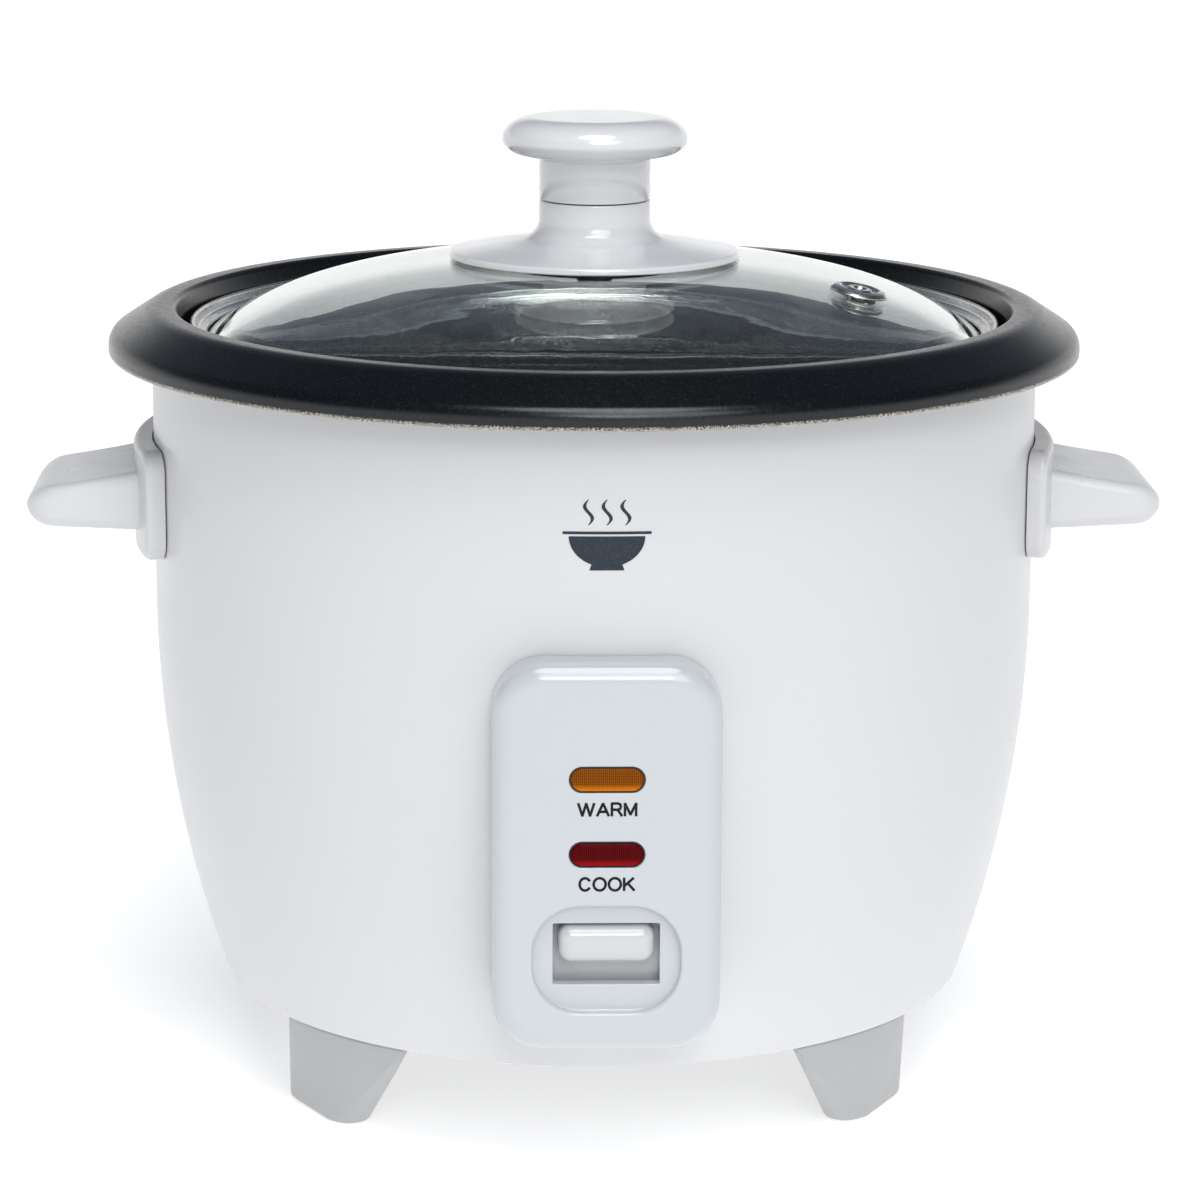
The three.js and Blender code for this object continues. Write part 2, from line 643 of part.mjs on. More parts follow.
// Stands a turned piece on the dome's surface at the steam vent, along the surface normal.
function alongVentAxis(geometry) {
  const distance = Math.hypot(vent.x, vent.y);
  const lean = Math.asin(distance / dome.radius);
  const normal = new THREE.Vector3(
    (vent.x / distance) * Math.sin(lean), (vent.y / distance) * Math.sin(lean), Math.cos(lean));
  geometry.applyQuaternion(new THREE.Quaternion().setFromUnitVectors(new THREE.Vector3(0, 0, 1), normal));
  return toSolid(geometry.translate(vent.x, vent.y, domeHeight(distance)));
}

function steamVentEyelet() {
  const under = -dome.thickness;
  return alongVentAxis(turnedGeometry([
    [vent.bore, 1.1],
    [2.4, 1.4],
    [4.6, 1.4],
    [vent.flange, 0.45],
    [vent.neck, 0.4],
    [vent.neck, under - 0.4],
    [5.4, under - 0.5],
    [5.2, under - 1.1],
    [vent.bore, under - 1.1],
  ], 16));
}

function lidBand() {
  return turned([
    [85.5, 154.6],
    [85.5, 162.4],
    [85.1, 163],
    [84.5, 162.7],
    [84.4, 160.9],
    [82.2, 160.7],
    [82.2, 159.85],
    [83.9, 158.6],
    [83.9, 155.2],
    [82.6, 155.2],
    [82.6, 154.6],
  ]);
}

function knobGrip() {
  const { stem, grip, top, split } = knobAxis;
  return turned([
    [0, top],
    [13.5, top - 0.3],
    [17.6, top - 1.5],
    [19.2, top - 3.2],
    [grip, top - 4.7],
    [19.1, top - 6.5],
    [17.4, top - 7.7],
    [13.2, top - 8.2],
    [stem, top - 9.4],
    [stem, split + GAP / 2],
    [2, split + GAP / 2],
    [2, 198],
    [0, 198],
  ], KNOB_SIDES);
}

function knobBase() {
  const { stem, split, flange } = knobAxis;
  return turned([
    [2.2, split - GAP / 2],
    [stem, split - GAP / 2],
    [stem, 184.2],
    [12.4, 182],
    [14, 180.5],
    [17, 179.6],
    [29.3, 177.5],
    [30.6, 176.8],
    [flange, domeHeight(flange) + 0.45],
    [21, domeHeight(21) + 0.45],
    [12.8, 177.4],
    [12.8, 179],
    [5.6, 179],
    [5.6, 177.6],
    [2.2, 177.6],
  ], KNOB_SIDES);
}

const knobGasket = () => turned([[6, 177.4], [12.4, 177.3], [12.4, 178.7], [6, 178.7]], SMALL_SIDES);
const knobWasher = () => turned([[2.2, 171.2], [16, 170.8], [16, 172], [2.2, 172.4]], SMALL_SIDES);

function knobScrew() {
  return turned([[0, 196.5], [1.6, 196.5], [1.6, 170.7], [4.2, 170.7], [3.4, 168.8], [0, 168.8]], 12);
}

// ---- Inner pot -----------------------------------------------------------------------------------------
function innerPot() {
  const { wall, floor, corner, foot: footRadius, top, ledge, throat } = pot;
  return turned([
    [0, floor],
    ...arc(footRadius - corner, floor + corner, corner, -90, 0, 4),
    [top - 0.2, ledge - 1],
    [top + 0.8, ledge],
    [throat - 0.3, ledge],
    [throat, ledge + 0.7],
    [throat + 0.7, 162.6],
    [87.8, rim.crest - 1.4],
    [89.2, rim.crest],
    [92.6, rim.crest],
    [98.5, 163],
    [102, 160.4],
    [rim.radius, 159.3],
    [rim.radius, rim.bottom],
    [rim.radius - wall, rim.bottom],
    [rim.radius - wall, 159],
    [97.7, 161.7],
    [92.2, rim.crest - wall],
    [90, rim.crest - wall],
    [88.7, 162.4],
    [throat + wall, ledge - wall],
    [top + wall, ledge - wall - 0.6],
    ...arc(footRadius - corner, floor + corner, corner + wall, 0, -90, 4),
    [0, floor - wall],
  ]);
}

// ---- Finishes ------------------------------------------------------------------------------------------
const finishes = {
  whitePaint: { color: 0xf1f1ee, roughness: 0.32, metalness: 0 },
  whitePlastic: { color: 0xefefef, roughness: 0.36, metalness: 0 },
  greyPlastic: { color: 0xdde3e8, roughness: 0.25, metalness: 0 },
  footPlastic: { color: 0xcfd2d6, roughness: 0.4, metalness: 0 },
  blackCoat: { color: 0x17181a, roughness: 0.45, metalness: 0.1 },
  aluminium: { color: 0xb9bcbf, roughness: 0.4, metalness: 0.9 },
  steel: { color: 0xc6c8cb, roughness: 0.25, metalness: 1 },
  zinc: { color: 0xa9adb2, roughness: 0.4, metalness: 0.9 },
  brass: { color: 0xc9a24a, roughness: 0.35, metalness: 1 },
  glass: { color: 0xdfe9e8, roughness: 0.05, metalness: 0, transparent: true, opacity: 0.35 },
  amber: { color: 0xe08a1e, roughness: 0.2, metalness: 0 },
  red: { color: 0xb3151d, roughness: 0.2, metalness: 0 },
  darkPlastic: { color: 0x26282b, roughness: 0.5, metalness: 0 },
  ferrite: { color: 0x3a3c3f, roughness: 0.6, metalness: 0.3 },
  mica: { color: 0x9a8a6a, roughness: 0.7, metalness: 0 },
  silicone: { color: 0xd8d2c4, roughness: 0.7, metalness: 0 },
  wireSleeve: { color: 0xe9e4d6, roughness: 0.6, metalness: 0 },
};

// ---- Assembly ------------------------------------------------------------------------------------------
const cooker = new THREE.Group();

function add(name, solid, finish) {
  const mesh = new THREE.Mesh(toGeometry(solid), new THREE.MeshStandardMaterial(finishes[finish]));
  mesh.name = name;
  cooker.add(mesh);
}

add('outer_casing', outerCasing(), 'whitePaint');
add('inner_liner', innerLiner(), 'steel');
add('base_cover', baseCover(), 'footPlastic');
add('heating_plate', heatingPlate(), 'aluminium');
add('heating_element', heatingElement(), 'zinc');
add('keep_warm_heater', keepWarmHeater(), 'mica');
add('thermostat_bracket', thermostatBracket(), 'zinc');
add('lever_bracket', leverBracket(), 'zinc');
add('lever_pivot_pin', leverPivotPin(), 'steel');
add('microswitch_body', microswitchBody(), 'darkPlastic');
add('thermal_fuse', thermalFuse(), 'aluminium');
standoff.angles.forEach((degrees, i) => {
  add(`base_standoff_${i + 1}`, baseStandoff(degrees), 'brass');
  add(`base_screw_${i + 1}`, baseScrew(degrees), 'zinc');
});

add('control_panel', controlPanel(), 'greyPlastic');
add('warm_lens', indicatorLens(lens.warm), 'amber');
add('cook_lens', indicatorLens(lens.cook), 'red');
add('warm_lamp', lamp(lens.warm), 'glass');
add('cook_lamp', lamp(lens.cook), 'glass');
add('lamp_holder', lampHolder(), 'darkPlastic');
panelBossHeights.forEach((height, i) => add(`panel_screw_${i + 1}`, panelScrew(height), 'zinc'));

add('handle_left', handleSolid(-1), 'whitePlastic');
add('handle_right', handleSolid(1), 'whitePlastic');
handleScrewPlaces().forEach((place, i) => add(`handle_screw_${i + 1}`, handleScrew(place), 'zinc'));

add('power_inlet', powerInlet(), 'darkPlastic');
inletPinPlaces.forEach((place) => add(place.name, inletPin(place), 'brass'));
[-20, 20].forEach((x, i) => add(`inlet_screw_${i + 1}`, inletScrew(x), 'zinc'));
Object.entries(wireRoutes).forEach(([name, points]) => add(name, wire(points), 'wireSleeve'));

add('inner_pot', innerPot(), 'blackCoat');
add('lid_glass', lidGlass(), 'glass');
add('lid_band', lidBand(), 'steel');
add('steam_vent_eyelet', steamVentEyelet(), 'steel');
add('knob_grip', knobGrip(), 'greyPlastic');
add('knob_base', knobBase(), 'greyPlastic');
add('knob_gasket', knobGasket(), 'silicone');
add('knob_washer', knobWasher(), 'steel');
add('knob_screw', knobScrew(), 'steel');

add('cook_paddle', cookPaddle(), 'greyPlastic');
add('switch_lever', switchLever(), 'zinc');
add('microswitch_button', microswitchButton(), 'whitePlastic');
add('magnet', magnet(), 'ferrite');
add('magnet_rod', magnetRod(), 'steel');
add('magnet_spring', spring(8.5, 0.4, magnetSize.top + GAP, 66 - GAP, 3), 'steel');
add('sensor_cup', sensorCup(), 'aluminium');
add('ferrite_core', ferriteCore(), 'ferrite');
add('cup_spring', spring(16.8, 0.5, 47.2 + GAP, cup.bottom - GAP, 2), 'steel');

export default cooker;
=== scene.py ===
import json
import math

import bmesh
import bpy
from mathutils import Matrix, Vector


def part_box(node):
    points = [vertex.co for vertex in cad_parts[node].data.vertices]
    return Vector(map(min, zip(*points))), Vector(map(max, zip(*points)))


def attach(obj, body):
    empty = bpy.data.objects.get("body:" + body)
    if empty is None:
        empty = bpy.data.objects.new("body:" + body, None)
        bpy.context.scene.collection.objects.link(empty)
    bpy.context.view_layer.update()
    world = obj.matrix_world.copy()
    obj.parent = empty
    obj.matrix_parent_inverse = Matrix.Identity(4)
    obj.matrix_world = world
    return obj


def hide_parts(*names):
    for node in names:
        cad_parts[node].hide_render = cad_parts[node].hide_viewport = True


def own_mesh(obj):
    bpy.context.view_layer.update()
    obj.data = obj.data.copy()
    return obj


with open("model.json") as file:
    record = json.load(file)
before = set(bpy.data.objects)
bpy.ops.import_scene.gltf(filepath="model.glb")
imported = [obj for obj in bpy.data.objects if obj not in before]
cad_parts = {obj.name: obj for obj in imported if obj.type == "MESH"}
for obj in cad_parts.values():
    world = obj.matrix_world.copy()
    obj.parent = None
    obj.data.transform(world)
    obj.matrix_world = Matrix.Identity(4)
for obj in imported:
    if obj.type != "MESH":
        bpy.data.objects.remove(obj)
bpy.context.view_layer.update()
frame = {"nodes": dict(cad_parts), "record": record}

# Lengths are millimetres unless a name says metres. Meshes are scaled to metres as they are made.
MM = 0.001
SCENE = bpy.context.scene


def span(node):
    """The lowest and highest corners of a CAD node, in millimetres."""
    low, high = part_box(node)
    return low / MM, high / MM


# ---- Driving dimensions, from the frame ----
CASING_LOW, CASING_HIGH = span("outer_casing")
CASING_RADIUS = CASING_HIGH.x
CASING_BOTTOM, CASING_TOP = CASING_LOW.z, CASING_HIGH.z
CASING_WALL = 1.2
BULGE_TOP = 105.0
BULGE_RADIUS = 250.0
GAP = 0.3

POT_LOW, POT_HIGH = span("inner_pot")
RIM_RADIUS = POT_HIGH.x
RIM_CREST = POT_HIGH.z
RIM_BOTTOM = RIM_CREST - 9.7
POT_WALL = 1.5

BAND_LOW, BAND_HIGH = span("lid_band")
GLASS_HIGH = span("lid_glass")[1]
GLASS_EDGE = GLASS_HIGH.x
DOME_RADIUS = 286.4
DOME_DROOP = 6.37
DOME_TOP = GLASS_HIGH.z + 0.03
GLASS_THICKNESS = 4.0

VENT_X, VENT_Y = 54.2, -21.4

GRIP_LOW, GRIP_HIGH = span("knob_grip")
FLANGE_HIGH = span("knob_base")[1]

PANEL_LOW, PANEL_HIGH = span("control_panel")
PANEL_FRONT = PANEL_LOW.y
PANEL_HALF = PANEL_HIGH.x
PANEL_WALL = 2.1
PANEL_CORNER = 10.5
PANEL_ROUNDING = 4.6

SEGMENTS = 192
SMALL_SEGMENTS = 64


def casing_radius(height):
    drop = max(0.0, BULGE_TOP - height)
    return CASING_RADIUS - BULGE_RADIUS + math.sqrt(BULGE_RADIUS**2 - drop**2)


def dome_height(radius):
    cap = DOME_RADIUS - math.sqrt(DOME_RADIUS**2 - radius**2)
    return DOME_TOP - cap - DOME_DROOP * (radius / GLASS_EDGE) ** 8


# ---- Camera, at the photograph's viewing angle ----
CAMERA_DISTANCE = 900.0
CAMERA_HEIGHT = 302.4
CAMERA_SIDE = 1.46
CAMERA_PITCH = math.radians(12.606)
CAMERA_TURN = math.radians(-1.7)
CAMERA_ROLL = math.radians(0.237)
CAMERA_LENS = 128.33


def make_camera():
    data = bpy.data.cameras.new("camera")
    data.sensor_width = 36.0
    data.lens = CAMERA_LENS
    data.clip_end = 50.0
    camera = bpy.data.objects.new("camera", data)
    SCENE.collection.objects.link(camera)
    turn = Matrix.Rotation(CAMERA_TURN, 4, "Z")
    place = Matrix.Translation(Vector((CAMERA_SIDE, -CAMERA_DISTANCE, CAMERA_HEIGHT)) * MM)
    tilt = Matrix.Rotation(math.pi / 2 - CAMERA_PITCH, 4, "X")
    camera.matrix_world = turn @ place @ tilt @ Matrix.Rotation(CAMERA_ROLL, 4, "Z")
    SCENE.camera = camera


# ---- Mesh building ----
def make_object(name, points, faces, sharp_degrees=32):
    """A mesh object from points in millimetres, its faces turned outwards and shaded smooth."""
    mesh = bpy.data.meshes.new(name)
    mesh.from_pydata([Vector(point) * MM for point in points], [], faces)
    piece = bpy.data.objects.new(name, mesh)
    SCENE.collection.objects.link(piece)
    tidy_mesh(piece, sharp_degrees)
    return piece


def from_bmesh(name, work):
    """The mesh object that a bmesh describes. The bmesh is freed."""
    mesh = bpy.data.meshes.new(name)
    work.to_mesh(mesh)
    work.free()
    piece = bpy.data.objects.new(name, mesh)
    SCENE.collection.objects.link(piece)
    return piece


def tidy_mesh(piece, sharp_degrees=32):
    work = bmesh.new()
    work.from_mesh(piece.data)
    bmesh.ops.remove_doubles(work, verts=work.verts, dist=1e-7)
    bmesh.ops.recalc_face_normals(work, faces=work.faces)
    work.to_mesh(piece.data)
    work.free()
    piece.data.shade_smooth()
    piece.data.set_sharp_from_angle(angle=math.radians(sharp_degrees))


def bake_modifiers(piece):
    """Replaces the piece's mesh by what its modifiers make of it."""
    graph = bpy.context.evaluated_depsgraph_get()
    mesh = bpy.data.meshes.new_from_object(piece.evaluated_get(graph))
    mesh.name = piece.name
    piece.modifiers.clear()
    piece.data = mesh


def boolean(piece, operation, tools):
    for tool in tools:
        step = piece.modifiers.new("step", "BOOLEAN")
        step.operation = operation
        step.solver = "EXACT"
        step.object = tool
    bake_modifiers(piece)
    for tool in tools:
        bpy.data.objects.remove(tool)
    tidy_mesh(piece)
    return piece


def soften(piece, width, segments=3, degrees=30):
    """Rounds the sharp edges and keeps the flat faces flat in shading."""
    bevel = piece.modifiers.new("bevel", "BEVEL")
    bevel.width = width * MM
    bevel.segments = segments
    bevel.limit_method = "ANGLE"
    bevel.angle_limit = math.radians(degrees)
    bevel.harden_normals = False
    bake_modifiers(piece)
    return flat_shading(piece)


def thicken(piece, depth):
    """Turns a print of single faces into a closed skin of the given depth."""
    thick = piece.modifiers.new("thick", "SOLIDIFY")
    thick.thickness = depth * MM
    thick.offset = 0
    bake_modifiers(piece)
    tidy_mesh(piece)


def flat_shading(piece):
    normals = piece.modifiers.new("normals", "WEIGHTED_NORMAL")
    normals.keep_sharp = True
    normals.weight = 80
    bake_modifiers(piece)
    return piece


def rounded(corners, steps=7):
    """Profile points from corners of (radius, height, fillet)."""
    points = []
    for i, (radius, height, fillet) in enumerate(corners):
        here = Vector((radius, height))
        if fillet == 0:
            points.append(here)
            continue
        before = Vector(corners[i - 1][:2]) - here
        after = Vector(corners[(i + 1) % len(corners)][:2]) - here
        half = before.angle(after) / 2
        reach = min(fillet / math.tan(half), 0.49 * before.length, 0.49 * after.length)
        size = reach * math.tan(half)
        centre = here + (before.normalized() + after.normalized()).normalized() * (size / math.sin(half))
        start = here + before.normalized() * reach - centre
        end = here + after.normalized() * reach - centre
        for k in range(steps + 1):
            share = k / steps
            points.append(centre + (start * (1 - share) + end * share).normalized() * size)
    return [(point.x, point.y) for point in points]


def ellipse(radius, height, across, up, start, end, steps=14):
    """Profile points of part of an ellipse, angles in degrees from the outward direction."""
    points = []
    for k in range(steps + 1):
        angle = math.radians(start + (end - start) * k / steps)
        points.append((radius + across * math.cos(angle), height + up * math.sin(angle)))
    return points


def turned(name, profile, segments=SEGMENTS, place=None, sharp_degrees=32):
    """A profile of (radius, height) turned about Z, closed on itself if it is off the axis."""
    points, faces, rings = [], [], []
    for radius, height in profile:
        count = 1 if radius < 1e-6 else segments
        rings.append(range(len(points), len(points) + count))
        for i in range(count):
            angle = 2 * math.pi * i / segments
            points.append(Vector((radius * math.sin(angle), -radius * math.cos(angle), height)))
    pairs = list(zip(rings, rings[1:]))
    if profile[0][0] > 1e-6:
        pairs.append((rings[-1], rings[0]))
    for low, high in pairs:
        for i in range(segments):
            j = (i + 1) % segments
            corners = (low[i % len(low)], low[j % len(low)], high[j % len(high)], high[i % len(high)])
            face = list(dict.fromkeys(corners))
            if len(face) > 2:
                faces.append(face)
    if place is not None:
        points = [place @ point for point in points]
    return make_object(name, points, faces, sharp_degrees)


def lofted(name, loops, sharp_degrees=32):
    """A skin through loops of equal length, closed by a flat face at each end."""
    size = len(loops[0])
    points = [point for loop in loops for point in loop]
    faces = []
    for row in range(len(loops) - 1):
        base = row * size
        for i in range(size):
            j = (i + 1) % size
            faces.append((base + i, base + j, base + size + j, base + size + i))
    faces.append(tuple(range(size)))
    faces.append(tuple(range(len(points) - size, len(points))))
    return make_object(name, points, faces, sharp_degrees)


def rounded_rectangle(x0, x1, z0, z1, radius, inset=0.0, steps=9, sides=1):
    """Outline points, the same number whatever the inset, with each straight side cut into sides parts."""
    x0, x1, z0, z1 = x0 + inset, x1 - inset, z0 + inset, z1 - inset
    size = max(0.02, min(radius - inset, (x1 - x0) / 2 - 0.001, (z1 - z0) / 2 - 0.001))
    centres = ((x1 - size, z0 + size), (x1 - size, z1 - size), (x0 + size, z1 - size), (x0 + size, z0 + size))
    arcs = []
    for quarter, (x, z) in enumerate(centres):
        angles = [math.pi / 2 * (quarter - 1 + k / steps) for k in range(steps + 1)]
        arcs.append([Vector((x + size * math.cos(angle), z + size * math.sin(angle))) for angle in angles])
    points = []
    for arc, after in zip(arcs, arcs[1:] + arcs[:1]):
        points += arc + [arc[-1].lerp(after[0], k / sides) for k in range(1, sides)]
    return [(point.x, point.y) for point in points]


def block(name, low, high):
    corners = [(x, y, z) for x in (low[0], high[0]) for y in (low[1], high[1]) for z in (low[2], high[2])]
    faces = [(0, 1, 3, 2), (4, 6, 7, 5), (0, 4, 5, 1), (2, 3, 7, 6), (0, 2, 6, 4), (1, 5, 7, 3)]
    return make_object(name, corners, faces)


def quarter_round(radius, steps):
    """(inset, depth) pairs that roll an edge from its side face to its front face."""
    angles = [math.pi / 2 * k / steps for k in range(steps + 1)]
    return [(radius * (1 - math.cos(angle)), radius * (1 - math.sin(angle))) for angle in angles]


def hole_tool(outline, front, depth, mouth=0.5, floor=0.0, steps=6):
    """A cutter with a flared mouth and, if asked, rounded floor edges. outline(inset) gives points."""
    loops = [[(x, front - 4, z) for x, z in outline(-mouth)]]
    for inset, sunk in reversed(quarter_round(mouth, steps)):
        loops.append([(x, front + sunk, z) for x, z in outline(-inset)])
    if floor == 0:
        loops.append([(x, front + depth, z) for x, z in outline(0)])
    else:
        for inset, rise in quarter_round(floor, steps):
            loops.append([(x, front + depth - rise, z) for x, z in outline(inset)])
    return lofted("hole_tool", loops)


# ---- Materials ----
class Finish:
    """A node material built round one Principled shader."""

    def __init__(self, name, color, roughness, **sockets):
        self.name = name
        self.material = bpy.data.materials.new(name)
        self.material.use_nodes = True
        self.nodes = self.material.node_tree.nodes
        self.links = self.material.node_tree.links
        self.shader = self.nodes["Principled BSDF"]
        self.shader.inputs["Base Color"].default_value = (*color, 1)
        self.shader.inputs["Roughness"].default_value = roughness
        for socket, value in sockets.items():
            self.shader.inputs[socket.replace("_", " ")].default_value = value
        self.coordinates = self.nodes.new("ShaderNodeTexCoord").outputs["Object"]

    def noise(self, scale, detail=3.0, stretch=None):
        """Noise with the given number of features per metre."""
        noise = self.nodes.new("ShaderNodeTexNoise")
        noise.inputs["Scale"].default_value = scale
        noise.inputs["Detail"].default_value = detail
        source = self.coordinates
        if stretch is not None:
            mapping = self.nodes.new("ShaderNodeMapping")
            mapping.inputs["Scale"].default_value = stretch
            self.links.new(source, mapping.inputs["Vector"])
            source = mapping.outputs["Vector"]
        self.links.new(source, noise.inputs["Vector"])
        return noise.outputs["Fac"]

    def ramp(self, source, low, high, start=0.0, end=1.0):
        """source mapped from low..high to start..end."""
        limits = self.nodes.new("ShaderNodeMapRange")
        limits.inputs["From Min"].default_value = low
        limits.inputs["From Max"].default_value = high
        limits.inputs["To Min"].default_value = start
        limits.inputs["To Max"].default_value = end
        self.links.new(source, limits.inputs["Value"])
        return limits.outputs["Result"]

    def math(self, operation, first, second):
        node = self.nodes.new("ShaderNodeMath")
        node.operation = operation
        for socket, value in zip(node.inputs, (first, second)):
            if isinstance(value, (int, float)):
                socket.default_value = value
            else:
                self.links.new(value, socket)
        return node.outputs["Value"]

    def mix(self, share, first, second):
        """A colour between two, each a colour or a socket."""
        node = self.nodes.new("ShaderNodeMix")
        node.data_type = "RGBA"
        self.links.new(share, node.inputs["Factor"])
        for socket, value in zip((node.inputs[6], node.inputs[7]), (first, second)):
            if isinstance(value, tuple):
                socket.default_value = (*value, 1)
            else:
                self.links.new(value, socket)
        return node.outputs[2]

    def color(self, source):
        self.links.new(source, self.shader.inputs["Base Color"])
        return self

    def roughness(self, source, low, high):
        self.links.new(self.ramp(source, 0.3, 0.7, low, high), self.shader.inputs["Roughness"])
        return self

    def bump(self, source, depth, strength=1.0):
        """Surface relief of the given depth in millimetres."""
        node = self.nodes.new("ShaderNodeBump")
        node.inputs["Distance"].default_value = depth * MM
        node.inputs["Strength"].default_value = strength
        previous = self.shader.inputs["Normal"].links
        if previous:
            self.links.new(previous[0].from_socket, node.inputs["Normal"])
        self.links.new(source, node.inputs["Height"])
        self.links.new(node.outputs["Normal"], self.shader.inputs["Normal"])
        return self

    def axis(self, name):
        """One object coordinate, in metres."""
        split = self.nodes.new("ShaderNodeSeparateXYZ")
        self.links.new(self.coordinates, split.inputs["Vector"])
        return split.outputs[name]

    def distance_from_axis(self):
        across = self.math("MULTIPLY", self.axis("X"), self.axis("X"))
        along = self.math("MULTIPLY", self.axis("Y"), self.axis("Y"))
        return self.math("SQRT", self.math("ADD", across, along), 0)


def white_paint():
    finish = Finish("white_paint", (0.72, 0.724, 0.735), 0.32, Coat_Weight=0.2, Coat_Roughness=0.15)
    cloud = finish.noise(14, 2)
    finish.color(finish.mix(cloud, (0.65, 0.653, 0.668), (0.674, 0.677, 0.692)))
    finish.roughness(finish.noise(120, 4), 0.29, 0.36)
    return finish.bump(finish.noise(700, 1), 0.003, 1.0)


def plastic(name, color, roughness, grain=0.0, shade=0.97, coat=0.15):
    """Moulded plastic: faint flow marks, a little sink, and surface grain where asked."""
    finish = Finish(name, color, roughness, Coat_Weight=coat, Coat_Roughness=0.08)
    dark = tuple(channel * shade for channel in color)
    finish.color(finish.mix(finish.noise(30, 3), dark, color))
    finish.roughness(finish.noise(200, 4), roughness * 0.85, roughness * 1.2)
    finish.bump(finish.noise(160, 1), 0.002, 1.0)
    if grain:
        finish.bump(finish.noise(1500, 1), grain, 1.0)
    return finish


def black_coating():
    """Non-stick coat: satin black with fine speckle, worn to bare metal along the rolled lip."""
    finish = Finish("black_coat", (0.005, 0.0065, 0.008), 0.25, Specular_IOR_Level=0.45)
    speckle = finish.noise(3400, 2)
    flecks = finish.ramp(speckle, 0.6, 0.74)
    coat = finish.mix(flecks, (0.003, 0.0045, 0.006), (0.03, 0.034, 0.038))
    near_lip = finish.ramp(finish.axis("Z"), (RIM_BOTTOM + 1.0) * MM, (RIM_BOTTOM + 0.2) * MM)
    outside = finish.ramp(finish.distance_from_axis(), (RIM_RADIUS - 2.2) * MM, (RIM_RADIUS - 1.4) * MM)
    edge = finish.math("MULTIPLY", near_lip, outside)
    wear = finish.math("GREATER_THAN", edge, finish.ramp(finish.noise(5200, 0), 0.38, 0.62))
    finish.color(finish.mix(wear, coat, (0.5, 0.47, 0.41)))
    finish.roughness(finish.noise(900, 3), 0.2, 0.28)
    return finish.bump(speckle, 0.012, 1.0)


def lid_glass_finish():
    finish = Finish("lid_glass", (0.93, 0.985, 0.965), 0.0, IOR=1.52)
    finish.shader.inputs["Transmission Weight"].default_value = 1.0
    wave = finish.noise(40, 2, (1.0, 1.5, 1.0))
    return finish.bump(wave, 0.009, 1.0)


def metal(name, color, roughness, brushed=None, spots=0.0, scale=400):
    """Metal with a grain along or across an axis, and spots of tarnish where asked."""
    finish = Finish(name, color, roughness, Metallic=1.0)
    grain = finish.noise(scale, 4, brushed)
    finish.roughness(grain, roughness * 0.75, roughness * 1.35)
    dark = tuple(channel * 0.78 for channel in color)
    share = finish.ramp(finish.noise(90, 5), 0.45, 0.75, 0.0, max(spots, 0.15))
    finish.color(finish.mix(share, color, dark))
    return finish.bump(grain, 0.012, 0.5)


def turned_metal(name, color, roughness, pitch):
    """Metal faced in a lathe, with fine rings of the given pitch in millimetres."""
    finish = Finish(name, color, roughness, Metallic=1.0)
    phase = finish.math("MULTIPLY", finish.distance_from_axis(), 2 * math.pi / (pitch * MM))
    rings = finish.math("SINE", phase, 0)
    finish.bump(finish.ramp(rings, -1, 1), 0.02, 0.7)
    finish.roughness(finish.noise(300, 4), roughness * 0.8, roughness * 1.3)
    share = finish.ramp(finish.noise(60, 5), 0.4, 0.8, 0.0, 0.35)
    dark = tuple(channel * 0.72 for channel in color)
    finish.color(finish.mix(share, color, dark))
    return finish


def lens_finish(name, node, dark, bright):
    """Clear coloured lens with a diamond hatch moulded behind its face, a painted highlight along its lower
    edge and a faint painted glow.
    """
    finish = Finish(name, bright, 0.2, Specular_IOR_Level=0.05)
    pitch = 2 * math.pi / (0.8 * MM)
    slopes = []
    for sign in (1, -1):
        lean = finish.math("ADD", finish.axis("X"), finish.math("MULTIPLY", finish.axis("Z"), 1.3 * sign))
        slopes.append(finish.math("SINE", finish.math("MULTIPLY", lean, pitch), 0))
    hatch = finish.ramp(finish.math("MULTIPLY", slopes[0], slopes[1]), -0.5, 0.6)
    low, high = span(node)
    # Painted highlight: the face turns to a brighter colour towards its lower edge.
    bottom = (low.z + high.z) / 2 - 2.3
    glow = finish.ramp(finish.axis("Z"), (bottom + 1.5) * MM, (bottom + 0.1) * MM, 0.0, 0.75)
    lit = tuple(min(1.0, 2.6 * channel) for channel in bright)
    face = finish.mix(glow, finish.mix(hatch, dark, bright), lit)
    finish.color(face)
    # Painted glow: the face colour, painted highlight included, is also emitted faintly.
    finish.links.new(face, finish.shader.inputs["Emission Color"])
    finish.shader.inputs["Emission Strength"].default_value = 0.12
    return finish.bump(hatch, 0.05, 0.5)


def ink(name, color):
    finish = Finish(name, color, 0.5, Specular_IOR_Level=0.1)
    light = tuple(channel + 0.02 for channel in color)
    return finish.color(finish.mix(finish.ramp(finish.noise(1800, 3), 0.5, 0.8), color, light))


def mica():
    finish = Finish("mica", (0.42, 0.36, 0.26), 0.5)
    layers = finish.noise(120, 5, (1, 1, 4))
    finish.color(finish.mix(layers, (0.34, 0.29, 0.2), (0.5, 0.44, 0.33)))
    return finish.bump(layers, 0.1, 0.4)


def woven_sleeve():
    finish = Finish("wire_sleeve", (0.78, 0.75, 0.67), 0.75)
    weave = finish.nodes.new("ShaderNodeTexVoronoi")
    weave.inputs["Scale"].default_value = 2200
    finish.links.new(finish.coordinates, weave.inputs["Vector"])
    finish.color(finish.mix(weave.outputs["Distance"], (0.62, 0.59, 0.52), (0.84, 0.81, 0.73)))
    return finish.bump(weave.outputs["Distance"], 0.15, 0.6)


def stage_white():
    finish = Finish("stage_white", (0.9, 0.9, 0.9), 0.6, Emission_Color=(1, 1, 1, 1), Emission_Strength=0.5)
    return finish.color(finish.mix(finish.noise(3, 2), (0.885, 0.885, 0.885), (0.905, 0.905, 0.905)))


